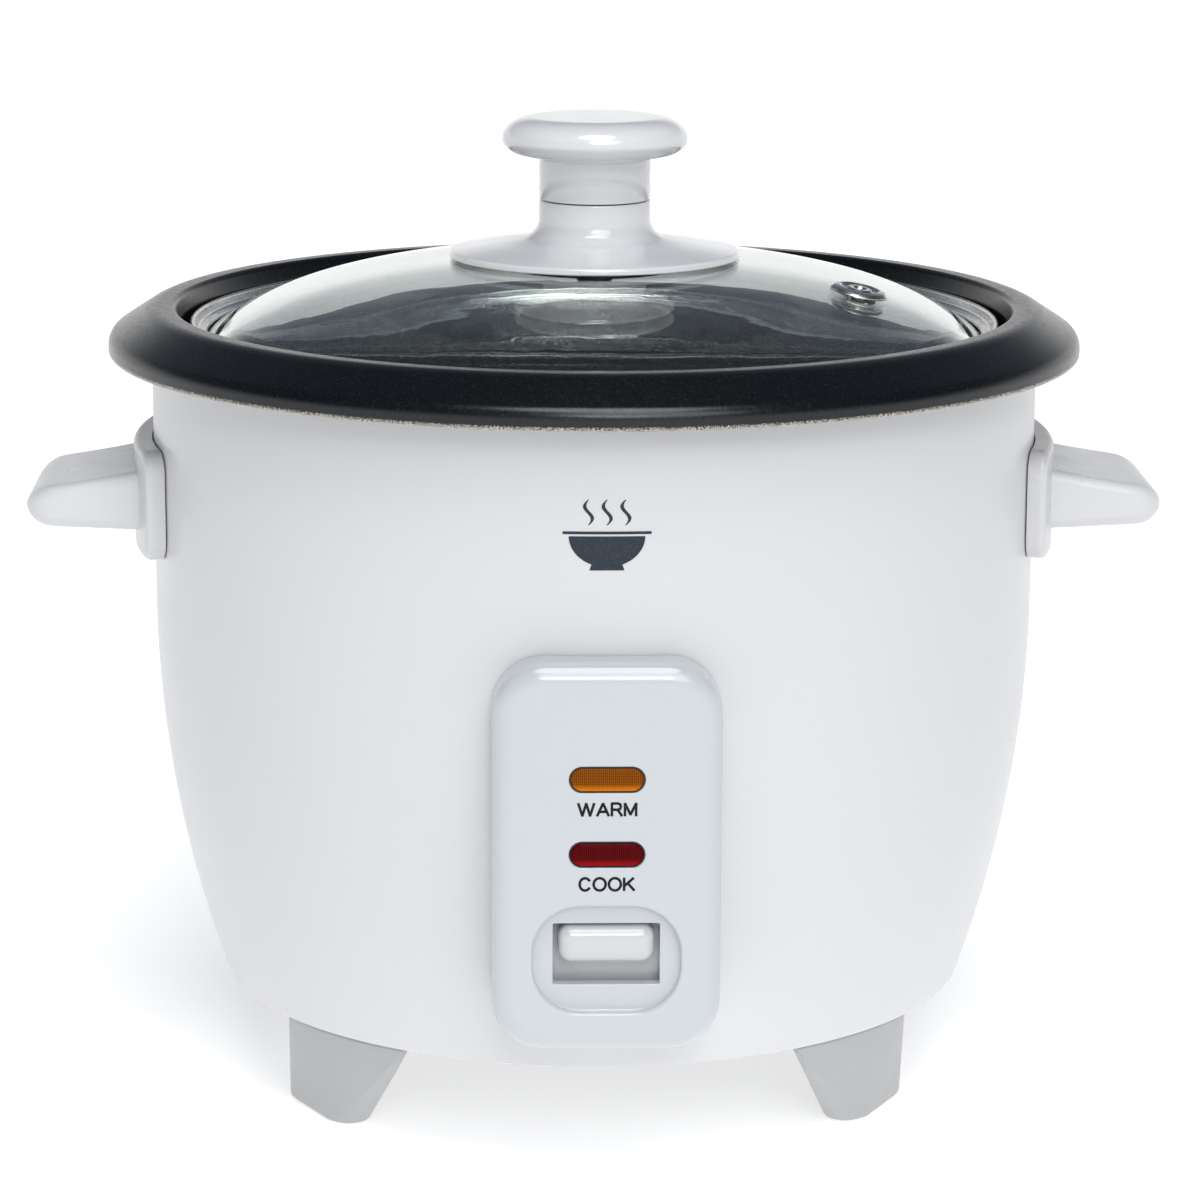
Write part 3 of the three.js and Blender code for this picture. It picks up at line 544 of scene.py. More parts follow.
def make_finishes():
    made = [
        white_paint(),
        plastic("white_plastic", (0.64, 0.644, 0.657), 0.32),
        plastic("grey_plastic", (0.545, 0.577, 0.6), 0.16, 0.0, 0.985, 0.3),
        # The knob's copy of the grey plastic, made lighter for the strong light from above: painted light.
        plastic("grey_plastic_painted_lighter", (0.78, 0.79, 0.81), 0.11, 0.0, 0.985, 0.5),
        plastic("paddle_plastic", (0.585, 0.594, 0.612), 0.14, 0.0, 0.985, 0.3),
        plastic("foot_plastic", (0.41, 0.414, 0.42), 0.36, 0.004),
        plastic("dark_plastic", (0.02, 0.021, 0.023), 0.42, 0.006, 0.8),
        black_coating(),
        lid_glass_finish(),
        metal("bright_steel", (0.8, 0.8, 0.79), 0.22, (1, 1, 6)),
        metal("liner_metal", (0.66, 0.67, 0.68), 0.3, (1, 1, 14), 0.35, 260),
        turned_metal("cast_aluminium", (0.62, 0.63, 0.64), 0.34, 0.55),
        metal("zinc_steel", (0.56, 0.57, 0.58), 0.36, None, 0.5, 900),
        metal("brass", (0.75, 0.55, 0.24), 0.26, (1, 6, 1), 0.3),
        plastic("ferrite", (0.05, 0.05, 0.055), 0.55, 0.03, 0.7),
        mica(),
        plastic("silicone", (0.66, 0.62, 0.54), 0.6, 0.01, 0.9),
        woven_sleeve(),
        lens_finish("amber_lens", "warm_lens", (0.07, 0.017, 0.0008), (0.3, 0.085, 0.002)),
        lens_finish("red_lens", "cook_lens", (0.016, 0.0003, 0.0006), (0.14, 0.0012, 0.003)),
        plastic("lamp_glass", (0.6, 0.6, 0.58), 0.08, 0.0, 0.9, 0.6),
        ink("legend_ink", (0.012, 0.012, 0.014)),
        ink("emblem_ink", (0.035, 0.045, 0.06)),
        stage_white(),
    ]
    return {finish.name: finish.material for finish in made}


FINISHES = make_finishes()


def settle(piece, body, finish, *nodes, slot=None):
    """Gives the piece its finish, its body and the CAD nodes that it stands for; slot is not used."""
    piece.data.materials.clear()
    piece.data.materials.append(FINISHES[finish])
    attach(piece, body)
    if nodes:
        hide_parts(*nodes)
    return piece


# ---- Drum ----
def make_casing():
    lip = 66.0
    heights = [CASING_BOTTOM + (BULGE_TOP - CASING_BOTTOM) * k / 22 for k in range(1, 23)]
    outer = [(casing_radius(z), z, 0) for z in heights]
    inner = [(casing_radius(z) - CASING_WALL, z, 0) for z in reversed(heights)]
    corners = [
        (lip, CASING_BOTTOM, 0),
        (casing_radius(CASING_BOTTOM), CASING_BOTTOM, 0.55),
        *outer,
        (CASING_RADIUS, CASING_TOP, 1.5), (CASING_RADIUS - 2.6, CASING_TOP, 0.3),
        (CASING_RADIUS - 2.6, CASING_TOP - CASING_WALL, 0.3),
        (CASING_RADIUS - CASING_WALL, CASING_TOP - CASING_WALL, 0.6),
        *inner,
        (casing_radius(CASING_BOTTOM) - CASING_WALL, CASING_BOTTOM + CASING_WALL, 0.5),
        (lip, CASING_BOTTOM + CASING_WALL, 0),
    ]
    casing = turned("casing_shell", rounded(corners))
    tools = [
        block("window_tool", (-14, -110, 41), (14, -60, 98)),
        block("inlet_tool", (-14.3, 60, 31.7), (14.3, 110, 52.3)),
    ]
    boolean(casing, "DIFFERENCE", tools)
    settle(casing, "housing", "white_paint", "outer_casing")


def make_liner():
    liner = turned("liner_shell", rounded([
        (93.4, 162.1, 0.2), (89.6, 162.1, 0.5), (89.5, 150, 1.5), (86, 146, 1.5), (84, 56.8, 9.2),
        (25, 56.8, 0), (25, 56, 0), (84.8, 56, 10), (86.8, 145.8, 1.5), (90.3, 149.7, 1.5),
        (90.3, 161.3, 0.5), (93.4, 161.3, 0.2),
    ]))
    settle(liner, "housing", "liner_metal", "inner_liner")


def make_heating_plate():
    high = span("heating_plate")[1]
    top, radius, hole = high.z, high.x, 19.0
    disc = turned("heating_plate_disc", rounded([
        (hole, 60, 0.5), (radius, 60, 1.6), (radius, top, 2.4), (hole + 2, top, 0.6),
        (hole + 1.6, top - 0.7, 0.4), (hole, top - 0.7, 0.3),
    ]))
    settle(disc, "housing", "cast_aluminium", "heating_plate")
    cup_top = span("sensor_cup")[1].z
    cup = turned("sensor_cap", rounded([
        (0, cup_top, 0), (5, cup_top, 0.5), (5.6, cup_top - 0.4, 0.3), (14.6, cup_top - 0.4, 0.3),
        (15.2, cup_top, 0.4), (17, cup_top, 0.9), (17, 52.8, 0.3), (18.2, 52.8, 0.3), (18.2, 52, 0),
        (16.2, 52, 0), (16.2, 71, 0.5), (0, 71, 0),
    ]), SMALL_SEGMENTS * 2)
    settle(cup, "sensor", "cast_aluminium", "sensor_cup")


# ---- Base and feet ----
FOOT_PAD = [
    (-65, -28), (-65, -31.5), (-63.8, -34.4), (-56.8, -47.2), (-54.8, -48.9), (-52.4, -49.8),
    (-50.2, -49.2), (-48.4, -47.8), (-47.8, -45), (-47.8, -31), (-50, -28),
]
FOOT_TOP = [
    (-65, -26), (-64.6, -44.2), (-57.5, -53.3), (-49, -61.2), (-39.2, -67.9), (-39.2, -46), (-46, -26),
]


def foot(side_x, side_y, top):
    """A hull between the pad and the wider outline under the drum, with its edges rounded."""
    points = [Vector((-x * side_x, -y * side_y, 0)) * MM for x, y in FOOT_PAD]
    points += [Vector((-x * side_x, -y * side_y, top)) * MM for x, y in FOOT_TOP]
    work = bmesh.new()
    for point in points:
        work.verts.new(point)
    bmesh.ops.convex_hull(work, input=work.verts)
    bmesh.ops.dissolve_limit(work, angle_limit=math.radians(2), verts=work.verts, edges=work.edges)
    piece = from_bmesh("foot", work)
    bevel = piece.modifiers.new("bevel", "BEVEL")
    bevel.width = 1.3 * MM
    bevel.segments = 4
    bevel.angle_limit = math.radians(12)
    bake_modifiers(piece)
    return piece


def make_base():
    top = span("base_cover")[1].z
    bottom, radius = top - 2.2, 72.0
    disc = turned("base_pan", rounded([
        (0, bottom, 0), (30, bottom, 0.4), (31, bottom + 0.5, 0.3), (58, bottom + 0.5, 0.3),
        (59, bottom, 0.4), (radius, bottom, 0.5), (radius, top, 0.3), (0, top, 0),
    ]))
    slots = [block("slot", (x - 1.5, -12, bottom - 2), (x + 1.5, 12, top + 2)) for x in range(-24, 25, 8)]
    boolean(disc, "DIFFERENCE", slots)
    corners = [(-1, -1), (1, -1), (-1, 1), (1, 1)]
    boolean(disc, "UNION", [foot(side_x, side_y, top) for side_x, side_y in corners])
    flat_shading(disc)
    settle(disc, "housing", "foot_plastic", "base_cover")


def make_cross_screw(node, place, radius, height):
    """A domed head with a cross recess, on its shank."""
    profile = rounded([
        (0, height, 0), (radius * 0.55, height * 0.93, 1.2), (radius, height * 0.3, 0.5),
        (radius, 0, 0.1), (1.4, 0, 0.1), (1.4, -13, 0.2), (0, -13.5, 0),
    ])
    screw = turned(node + "_screw", profile, SMALL_SEGMENTS, place)
    arms = []
    for turn in (0, math.pi / 2):
        arm = block("arm", (-radius * 0.55, -0.4, height - 0.8), (radius * 0.55, 0.4, height + 1))
        turned_place = place @ Matrix.Rotation(turn, 4, "Z")
        arm.data.transform(Matrix.Scale(MM, 4) @ turned_place @ Matrix.Scale(1 / MM, 4))
        arms.append(arm)
    boolean(screw, "DIFFERENCE", arms)
    settle(screw, "housing", "zinc_steel", node)


def make_screws():
    for i in (1, 2, 3):
        node = f"base_screw_{i}"
        low, high = span(node)
        middle = (low + high) / 2
        down = Matrix.Translation((middle.x, middle.y, low.z + 1.9)) @ Matrix.Rotation(math.pi, 4, "X")
        make_cross_screw(node, down, 3.2, 1.9)
    for i in (1, 2):
        node = f"inlet_screw_{i}"
        low, high = span(node)
        middle = (low + high) / 2
        out = Matrix.Translation((middle.x, high.y - 1.6, middle.z)) @ Matrix.Rotation(-math.pi / 2, 4, "X")
        make_cross_screw(node, out, 3.0, 1.6)


# ---- Pot and lid ----
def make_pot():
    floor = POT_LOW.z + POT_WALL
    crest, lip = RIM_CREST, RIM_BOTTOM
    ledge = crest - 11.9
    pot = turned("pot_shell", rounded([
        (0, floor, 0), (80, floor, 14), (82.8, ledge - 1, 1.2), (83.8, ledge, 0.5),
        (86.5, ledge, 0.6), (87.3, 162.6, 4), (88.6, crest, 1.5), (93.6, crest, 6),
        (RIM_RADIUS, crest - 5.9, 3.4), (RIM_RADIUS, lip, 1.15), (RIM_RADIUS - POT_WALL, lip, 0.3),
        (RIM_RADIUS - POT_WALL, crest - 6.8, 2), (93.2, crest - POT_WALL, 4),
        (90, crest - POT_WALL, 1), (88.8, 162.4, 4), (88.1, ledge - POT_WALL, 0.8),
        (84.5, ledge - POT_WALL - 0.4, 0.8), (81.5, floor - POT_WALL, 15.5),
        (0, floor - POT_WALL, 0),
    ], 10))
    settle(pot, "pot", "black_coat", "inner_pot")
    for level in range(1, 5):
        height = 88 + 13 * level
        radius = 80 + 2.8 * (height - floor) / (ledge - floor) - 0.55
        make_level_mark(radius, height, 13 + 4 * (level % 2))


def make_level_mark(radius, height, half_degrees):
    """A thin raised line on the back of the pot's wall that marks a water level."""
    loops = []
    for k in range(25):
        angle = math.radians(-half_degrees + 2 * half_degrees * k / 24)
        loop = []
        for out, up in ((0, -0.35), (0.35, -0.35), (0.35, 0.35), (0, 0.35)):
            reach = radius + out
            loop.append((reach * math.sin(angle), reach * math.cos(angle), height + up))
        loops.append(loop)
    mark = lofted(f"level_mark_{height:.0f}", loops)
    settle(mark, "pot", "liner_metal", slot="black_coat")


def vent_place():
    """The matrix that stands a piece on the dome at the steam vent, along the surface normal."""
    x, y = VENT_X, VENT_Y
    distance = math.hypot(x, y)
    lean = math.asin(distance / DOME_RADIUS)
    normal = Vector((x / distance * math.sin(lean), y / distance * math.sin(lean), math.cos(lean)))
    turn = Vector((0, 0, 1)).rotation_difference(normal).to_matrix().to_4x4()
    return Matrix.Translation((x, y, dome_height(distance))) @ turn


def make_lid():
    top_radii = [4 + (GLASS_EDGE - 4.8) * k / 60 for k in range(61)]
    under_radii = [4 + 72 * k / 40 for k in range(40, -1, -1)]
    profile = [(radius, dome_height(radius)) for radius in top_radii]
    profile += [
        (GLASS_EDGE - 0.35, dome_height(GLASS_EDGE - 0.35) - 0.1),
        (GLASS_EDGE, dome_height(GLASS_EDGE) - 0.5),
        (GLASS_EDGE, 156.7), (GLASS_EDGE - 0.4, 156.1), (81.6, 155.55),
    ]
    profile += [(radius, dome_height(radius) - GLASS_THICKNESS) for radius in under_radii]
    glass = turned("glass_dome", profile, SEGMENTS)
    hole = turned("hole_tool", [(0, -9), (3.6, -9), (3.6, 9), (0, 9)], SMALL_SEGMENTS, vent_place())
    boolean(glass, "DIFFERENCE", [hole])
    settle(glass, "lid", "lid_glass", "lid_glass")

    outer, bottom, top = BAND_HIGH.x, BAND_LOW.z, BAND_HIGH.z
    band = turned("edge_band", rounded([
        (outer, bottom, 0.2), (outer, top, 0.55), (84.35, top, 0.55), (84.2, 160.95, 0.45),
        (83.6, 160.75, 0.3), (83.1, 161.0, 0.3), (82.0, 160.7, 0.35), (82.0, 160.0, 0.2),
        (83.9, 158.5, 0.3), (83.9, 155.2, 0.2), (82.4, 155.2, 0.2), (82.4, bottom, 0.2),
    ], 5))
    settle(band, "lid", "bright_steel", "lid_band")

    under = -GLASS_THICKNESS
    eyelet = turned("vent_eyelet", rounded([
        (1.1, 0.9, 0.2), (1.5, 1.45, 0.25), (2.3, 1.45, 0.25), (2.9, 1.0, 0.3), (3.6, 1.0, 0.3),
        (4.3, 1.5, 0.3), (5.4, 1.3, 0.5), (6.2, 0.7, 0.3), (6.1, 0.35, 0.1), (3.2, 0.4, 0),
        (3.2, under - 0.4, 0), (5.4, under - 0.5, 0.2), (5.2, under - 1.1, 0.2),
        (1.1, under - 1.1, 0.2),
    ], 4), SMALL_SEGMENTS, vent_place())
    settle(eyelet, "lid", "bright_steel", "steam_vent_eyelet")


def make_knob():
    top, split = GRIP_HIGH.z, GRIP_LOW.z
    radius, stem = GRIP_HIGH.x, 11.8
    widest = top - 4.7
    profile = [(0, top), (6, top - 0.02), (10, top - 0.08)]
    profile += ellipse(12.6, widest, radius - 12.6, 4.62, 90, 0)
    profile += ellipse(14.8, widest, radius - 14.8, 3.3, 0, -90)[1:]
    profile += rounded([
        (14, widest - 3.32, 0), (stem, widest - 3.4, 1.2), (stem, split + 0.3, 0),
        (stem - 0.15, split, 0.1), (2, split, 0), (2, 198, 0), (0, 198, 0),
    ])
    grip = turned("knob_handle", profile, 128)
    # The knob takes the lighter copy of the grey plastic: painted light from above.
    settle(grip, "lid", "grey_plastic_painted_lighter", "knob_grip", slot="grey_plastic")

    flange = FLANGE_HIGH.x
    seat = dome_height(flange) + 0.45
    base_top = FLANGE_HIGH.z
    base = turned("knob_skirt", rounded([
        (2.2, base_top, 0), (stem - 0.15, base_top, 0.1), (stem, base_top - 0.3, 0),
        (stem, 180.4, 4.4), (21, 178.9, 12), (flange - 0.3, 177.3, 0.9), (flange, seat, 0.3),
        (21, dome_height(21) + 0.45, 0),
        (12.8, 177.4, 0.2), (12.8, 179, 0.2), (5.6, 179, 0.2), (5.6, 177.6, 0.2), (2.2, 177.6, 0),
    ]), 128)
    settle(base, "lid", "grey_plastic_painted_lighter", "knob_base", slot="grey_plastic")

    washer = turned("dished_washer", rounded([
        (2.2, 171.2, 0.2), (9, 171.2, 0.6), (10, 170.6, 0.6), (16, 170.8, 0.4), (16, 171.9, 0.4),
        (2.2, 172.4, 0.2),
    ]), 96)
    settle(washer, "lid", "bright_steel", "knob_washer")
    gasket = turned("sealing_ring", rounded([
        (6, 177.4, 0.4), (12.4, 177.3, 0.4), (12.4, 178.7, 0.4), (6, 178.7, 0.4),
    ]), 96)
    settle(gasket, "lid", "silicone", "knob_gasket")


# ---- Control panel ----
def casing_face(x, z, clearance=GAP):
    """The Y of the casing's front surface, less a clearance, at a point of the panel."""
    return -math.sqrt((casing_radius(z) + clearance) ** 2 - x**2)


def panel_outline(inset, steps=12):
    return rounded_rectangle(
        -PANEL_HALF, PANEL_HALF, PANEL_LOW.z, PANEL_HIGH.z, PANEL_CORNER, inset, steps, 12)


def stadium(half_width, half_height, height):
    def outline(inset):
        return rounded_rectangle(
            -half_width, half_width, height - half_height, height + half_height, half_height, inset)
    return outline


def make_panel():
    inner = panel_outline(PANEL_WALL)
    outer = panel_outline(0)
    loops = [
        [(x, PANEL_FRONT + PANEL_WALL, z) for x, z in inner],
        [(x, casing_face(x, z), z) for x, z in inner],
        [(x, casing_face(x, z), z) for x, z in outer],
    ]
    for inset, depth in quarter_round(PANEL_ROUNDING, 11):
        loops.append([(x, PANEL_FRONT + 0.8 * depth, z) for x, z in panel_outline(inset)])
    panel = lofted("panel_shell", loops)

    pad = block("pad", (-16.5, PANEL_FRONT + 1.2, 39), (16.5, PANEL_FRONT + 4.5, 65))
    boolean(panel, "UNION", [pad])

    def recess(inset):
        return rounded_rectangle(-14.5, 14.5, 41.1, 62.8, 9.5, inset, 12)

    def window(inset):
        return rounded_rectangle(-10.45, 10.45, 46.5, 58.9, 0.35, inset, 4)

    tools = [
        hole_tool(recess, PANEL_FRONT, 1.9, 0.6, 0.5, 8),
        hole_tool(window, PANEL_FRONT + 1.9, 9, 0.22),
    ]
    for node in ("warm_lens", "cook_lens"):
        low, high = span(node)
        tools.append(hole_tool(stadium(7.4, 2.6, (low.z + high.z) / 2), PANEL_FRONT, 9, 0.3))
    boolean(panel, "DIFFERENCE", tools)
    flat_shading(panel)
    settle(panel, "housing", "grey_plastic", "control_panel")


def make_lens(node, finish):
    """A low dome in the panel's slot, on a flange behind the wall."""
    low, high = span(node)
    height = (low.z + high.z) / 2
    face = stadium(7.1, 2.3, height)
    flange = stadium(8.7, 3.8, height)
    back = PANEL_FRONT + PANEL_WALL + GAP
    loops = [
        [(x, back + 1.2, z) for x, z in flange(0)],
        [(x, back, z) for x, z in flange(0)],
        [(x, back, z) for x, z in face(0)],
    ]
    dome = ((0, 0.35), (0.06, 0.18), (0.2, 0.05), (0.5, -0.06), (1.0, -0.13), (1.6, -0.17), (2.2, -0.19))
    for inset, proud in dome:
        loops.append([(x, PANEL_FRONT + proud, z) for x, z in face(inset)])
    lens = lofted(node + "_cap", loops)
    settle(lens, "housing", finish, node)
    # A dark ring of painted shade lines the gap between the lens and the panel's slot.
    rim_loops = []
    for inset, depth in ((-0.22, 0.1), (-0.22, 0.6), (-0.02, 0.6), (-0.02, 0.3), (-0.08, 0.1)):
        rim_loops.append([(x, PANEL_FRONT + depth, z) for x, z in stadium(7.1, 2.3, height)(inset)])
    ring(node + "_shadow_rim", rim_loops)


def ring(name, loops):
    """A closed ring through loops, used for the dark ring of painted shade in the gap round each lens."""
    size, count = len(loops[0]), len(loops)
    points = [point for loop in loops for point in loop]
    faces = []
    for row in range(count):
        after = (row + 1) % count
        for i in range(size):
            j = (i + 1) % size
            faces.append((row * size + i, row * size + j, after * size + j, after * size + i))
    piece = make_object(name, points, faces)
    settle(piece, "housing", "dark_plastic")


def make_paddle():
    """The pillow-shaped paddle, its shutter and the block that grips the lever."""
    front = span("cook_paddle")[0].y
    face_low, face_high, half = 50.9, 58.5, 9.45

    def outline(inset):
        return rounded_rectangle(-half, half, face_low, face_high, 2.6, inset, 8)

    middle = (face_low + face_high) / 2
    loops = [[(x, front + 4.6, z) for x, z in outline(0.5)]]
    pillow = (
        (0, 4.2), (0, 2.9), (0.08, 2.2), (0.3, 1.5), (0.7, 0.9), (1.3, 0.45), (2.0, 0.18), (2.8, 0.04))
    for inset, depth in pillow:
        loops.append([(x, front + depth, z) for x, z in outline(inset)])
    loops.append([(x * 0.9, front, middle + (z - middle) * 0.4) for x, z in outline(3.3)])
    paddle = lofted("paddle_cap", loops, 50)
    parts = [
        block("grip", (-6.5, front + 4, 50.9), (6.5, -87, 56.2)),
        block("shutter", (-12.5, -95.4, 45), (12.5, -94.2, 62.4)),
    ]
    boolean(paddle, "UNION", parts)
    boolean(paddle, "DIFFERENCE", [block("slot", (-4.8, -95.3, 52.2), (4.8, -80, 54.3))])
    tidy_mesh(paddle, 50)
    flat_shading(paddle)
    settle(paddle, "cook_lever", "paddle_plastic", "cook_paddle", slot="grey_plastic")


LEGEND_STROKE = 0.52
LETTERS = {
    "W": (1.3, [[(0, 1), (0.33, 0), (0.65, 1), (0.97, 0), (1.3, 1)]]),
    "A": (0.95, [[(0, 0), (0.475, 1), (0.95, 0)], [(0.17, 0.33), (0.78, 0.33)]]),
    "R": (0.82, [
        [(0, 0), (0, 1), (0.5, 1), (0.68, 0.93), (0.74, 0.76), (0.68, 0.58), (0.5, 0.5), (0.03, 0.5)],
        [(0.42, 0.5), (0.58, 0.36), (0.82, 0)],
    ]),
    "M": (0.92, [[(0, 0), (0, 1), (0.46, 0.1), (0.92, 1), (0.92, 0)]]),
    "C": (0.86, [[(0.43 + 0.43 * math.cos(a), 0.5 + 0.5 * math.sin(a))
                  for a in (math.radians(35 + 290 * k / 24) for k in range(25))]]),
    "O": (0.96, [[(0.48 + 0.48 * math.cos(a), 0.5 + 0.5 * math.sin(a))
                  for a in (2 * math.pi * k / 32 for k in range(33))]]),
    "K": (0.8, [[(0, 0), (0, 1)], [(0.74, 1), (0, 0.34)], [(0.28, 0.6), (0.8, 0)]]),
}


def unbroken(path, sharpest=40):
    """The path split wherever it turns a sharp corner."""
    points = [Vector(point) for point in path]
    parts, part = [], points[:2]
    for before, here, after in zip(points, points[1:], points[2:]):
        if (here - before).angle(after - here) > math.radians(sharpest):
            parts.append(part)
            part = [here]
        part.append(after)
    return parts + [part]


def stroke_edges(points, width):
    """The two sides of a pen stroke along a smooth path, with its ends a little past the last points."""
    closed = (points[0] - points[-1]).length < 1e-6
    sides = []
    for i, point in enumerate(points):
        before = points[-2] if closed and i == 0 else points[max(i - 1, 0)]
        after = points[1] if closed and i == len(points) - 1 else points[min(i + 1, len(points) - 1)]
        along = (after - before).normalized()
        side = Vector((-along.y, along.x)) * width / 2
        if not closed and i in (0, len(points) - 1):
            point = point + along * width * (0.2 if i else -0.2)
        sides.append((point + side, point - side))
    return sides


def make_legend(text, low, height, width):
    """A plain printed word on the panel's face, drawn with a pen of even width."""
    space = 0.26
    total = sum(LETTERS[letter][0] for letter in text) + space * (len(text) - 1)
    tall = height - LEGEND_STROKE
    wide = (width - LEGEND_STROKE) / total
    work = bmesh.new()
    start = -(width - LEGEND_STROKE) / 2
    for letter in text:
        advance, paths = LETTERS[letter]
        placed = [[(start + x * wide, low + LEGEND_STROKE / 2 + y * tall) for x, y in path] for path in paths]
        for layer, points in enumerate(part for path in placed for part in unbroken(path)):
            edges = stroke_edges(points, LEGEND_STROKE)
            depth = PANEL_FRONT - 0.02 - 0.002 * layer
            rows = [[work.verts.new(Vector((p.x, depth, p.y)) * MM) for p in pair] for pair in edges]
            for (a, b), (c, d) in zip(rows, rows[1:]):
                work.faces.new((a, b, d, c))
        start += (advance + space) * wide
    bmesh.ops.recalc_face_normals(work, faces=work.faces)
    legend = from_bmesh("legend_" + text.lower(), work)
    thicken(legend, 0.03)
    settle(legend, "housing", "legend_ink", slot="grey_plastic")


# ---- Emblem ----
def make_emblem():
    """A plain pictogram of a steaming bowl, printed on the front of the casing."""
    centre, out = 135.2, 0.05
    work = bmesh.new()

    def strip(left, right):
        """A band of quads between two lines of (across, up) points, wrapped round the casing."""
        rows = []
        for x, z in zip(left, right):
            rows.append([wrap(*x), wrap(*z)])
        for low, high in zip(rows, rows[1:]):
            corners = [work.verts.new(point) for point in (low[0], low[1], high[1], high[0])]
            work.faces.new(corners)

    def wrap(across, up):
        angle = across / CASING_RADIUS
        reach = CASING_RADIUS + out
        return Vector((reach * math.sin(angle), -reach * math.cos(angle), centre + up)) * MM

    steps = 28
    radius, flat = 7.4, 0.82
    angles = [math.pi * k / steps for k in range(steps + 1)]
    rim = [(-radius * math.cos(a), -0.6) for a in angles]
    belly = [(-radius * math.cos(a), -0.6 - radius * flat * math.sin(a)) for a in angles]
    strip(rim, belly)
    shares = [-1 + 2 * k / 12 for k in range(13)]
    strip([(8.6 * t, 0.35) for t in shares], [(8.6 * t, -0.2) for t in shares])
    strip([(3.0 * t, -6.2) for t in shares], [(3.4 * t, -7.3) for t in shares])
    for middle in (-3.6, 0.0, 3.6):
        sweep = [k / 16 for k in range(17)]
        wave = [(middle + 0.75 * math.sin(2 * math.pi * t), 1.6 + 5.0 * t) for t in sweep]
        width = [0.42 * math.sin(math.pi * (0.08 + 0.84 * t)) for t in sweep]
        strip([(x - w, z) for (x, z), w in zip(wave, width)], [(x + w, z) for (x, z), w in zip(wave, width)])
    bmesh.ops.remove_doubles(work, verts=work.verts, dist=1e-7)
    bmesh.ops.recalc_face_normals(work, faces=work.faces)
    emblem = from_bmesh("bowl_emblem", work)
    thicken(emblem, 0.03)
    settle(emblem, "housing", "emblem_ink", slot="white_paint")


# ---- Handles ----
HANDLE_CENTRE = 127.0
COLLAR_OUTER = 97.8
COLLAR_HALF_WIDTH = 28.5
COLLAR_HALF_HEIGHT = 11.5
COLLAR_CORNER = 4.5
COLLAR_EDGE = 1.4


def collar_loops(side):
    """Loops of the curved plate, from its back against the drum to its rounded front edge."""
    def on_drum(across, up, reach):
        angle = across / CASING_RADIUS
        return (side * reach * math.cos(angle), reach * math.sin(angle), HANDLE_CENTRE + up)

    def outline(inset):
        return rounded_rectangle(
            -COLLAR_HALF_WIDTH, COLLAR_HALF_WIDTH, -COLLAR_HALF_HEIGHT, COLLAR_HALF_HEIGHT,
            COLLAR_CORNER, inset, 8, 20)

    def shrunk(inset, share, reach):
        return [on_drum(a * share, u * share, reach) for a, u in outline(inset)]

    loops = [shrunk(0, share, CASING_RADIUS + GAP) for share in (0.02, 0.25, 0.5, 0.75, 1.0)]
    for inset, depth in quarter_round(COLLAR_EDGE, 6):
        loops.append(shrunk(inset, 1.0, COLLAR_OUTER - depth))
    return loops + [shrunk(COLLAR_EDGE, share, COLLAR_OUTER) for share in (0.8, 0.6, 0.4, 0.2, 0.02)]


def grip_loops(side, reach):
    """Sections of the grip from inside the collar to its rounded nose."""
    root, nose, plan = 95.0, 5.2, 7.0
    stations = [root + (reach - nose - root) * k / 10 for k in range(11)]
    stations += [reach - nose + nose * math.sin(math.pi / 2 * k / 12) for k in range(1, 13)]
    loops = []
    for x in stations:
        share = (x - root) / (reach - root)
        top = 133.3 - 4.2 * share - 0.25 * math.sin(math.pi * share)
        low = 120.4 + 1.1 * share
        half = 20.0
        into_plan = x - (reach - plan)
        if into_plan > 0:
            half -= plan - math.sqrt(max(0.0, plan**2 - into_plan**2))
        into_nose = (x - (reach - nose)) / nose
        if into_nose > 0:
            squeeze = math.sqrt(max(0.0, 1 - into_nose**2))
            middle = low + (top - low) * 0.48
            top = middle + (top - middle) * max(squeeze, 0.06)
            low = middle - (middle - low) * max(squeeze, 0.06)
        half = max(half, 12.6)
        radius = min(2.6, (top - low) / 2.05)
        section = rounded_rectangle(-half, half, low, top, radius, 0, 7)
        loops.append([(side * x, y, z) for y, z in section])
    return loops


def make_handle(node, side):
    reach = max(abs(corner.x) for corner in span(node))
    handle = lofted(node + "_moulding", collar_loops(side))
    grip = lofted("grip", grip_loops(side, reach))
    boolean(handle, "UNION", [grip])
    flat_shading(handle)
    settle(handle, "housing", "white_plastic", node)


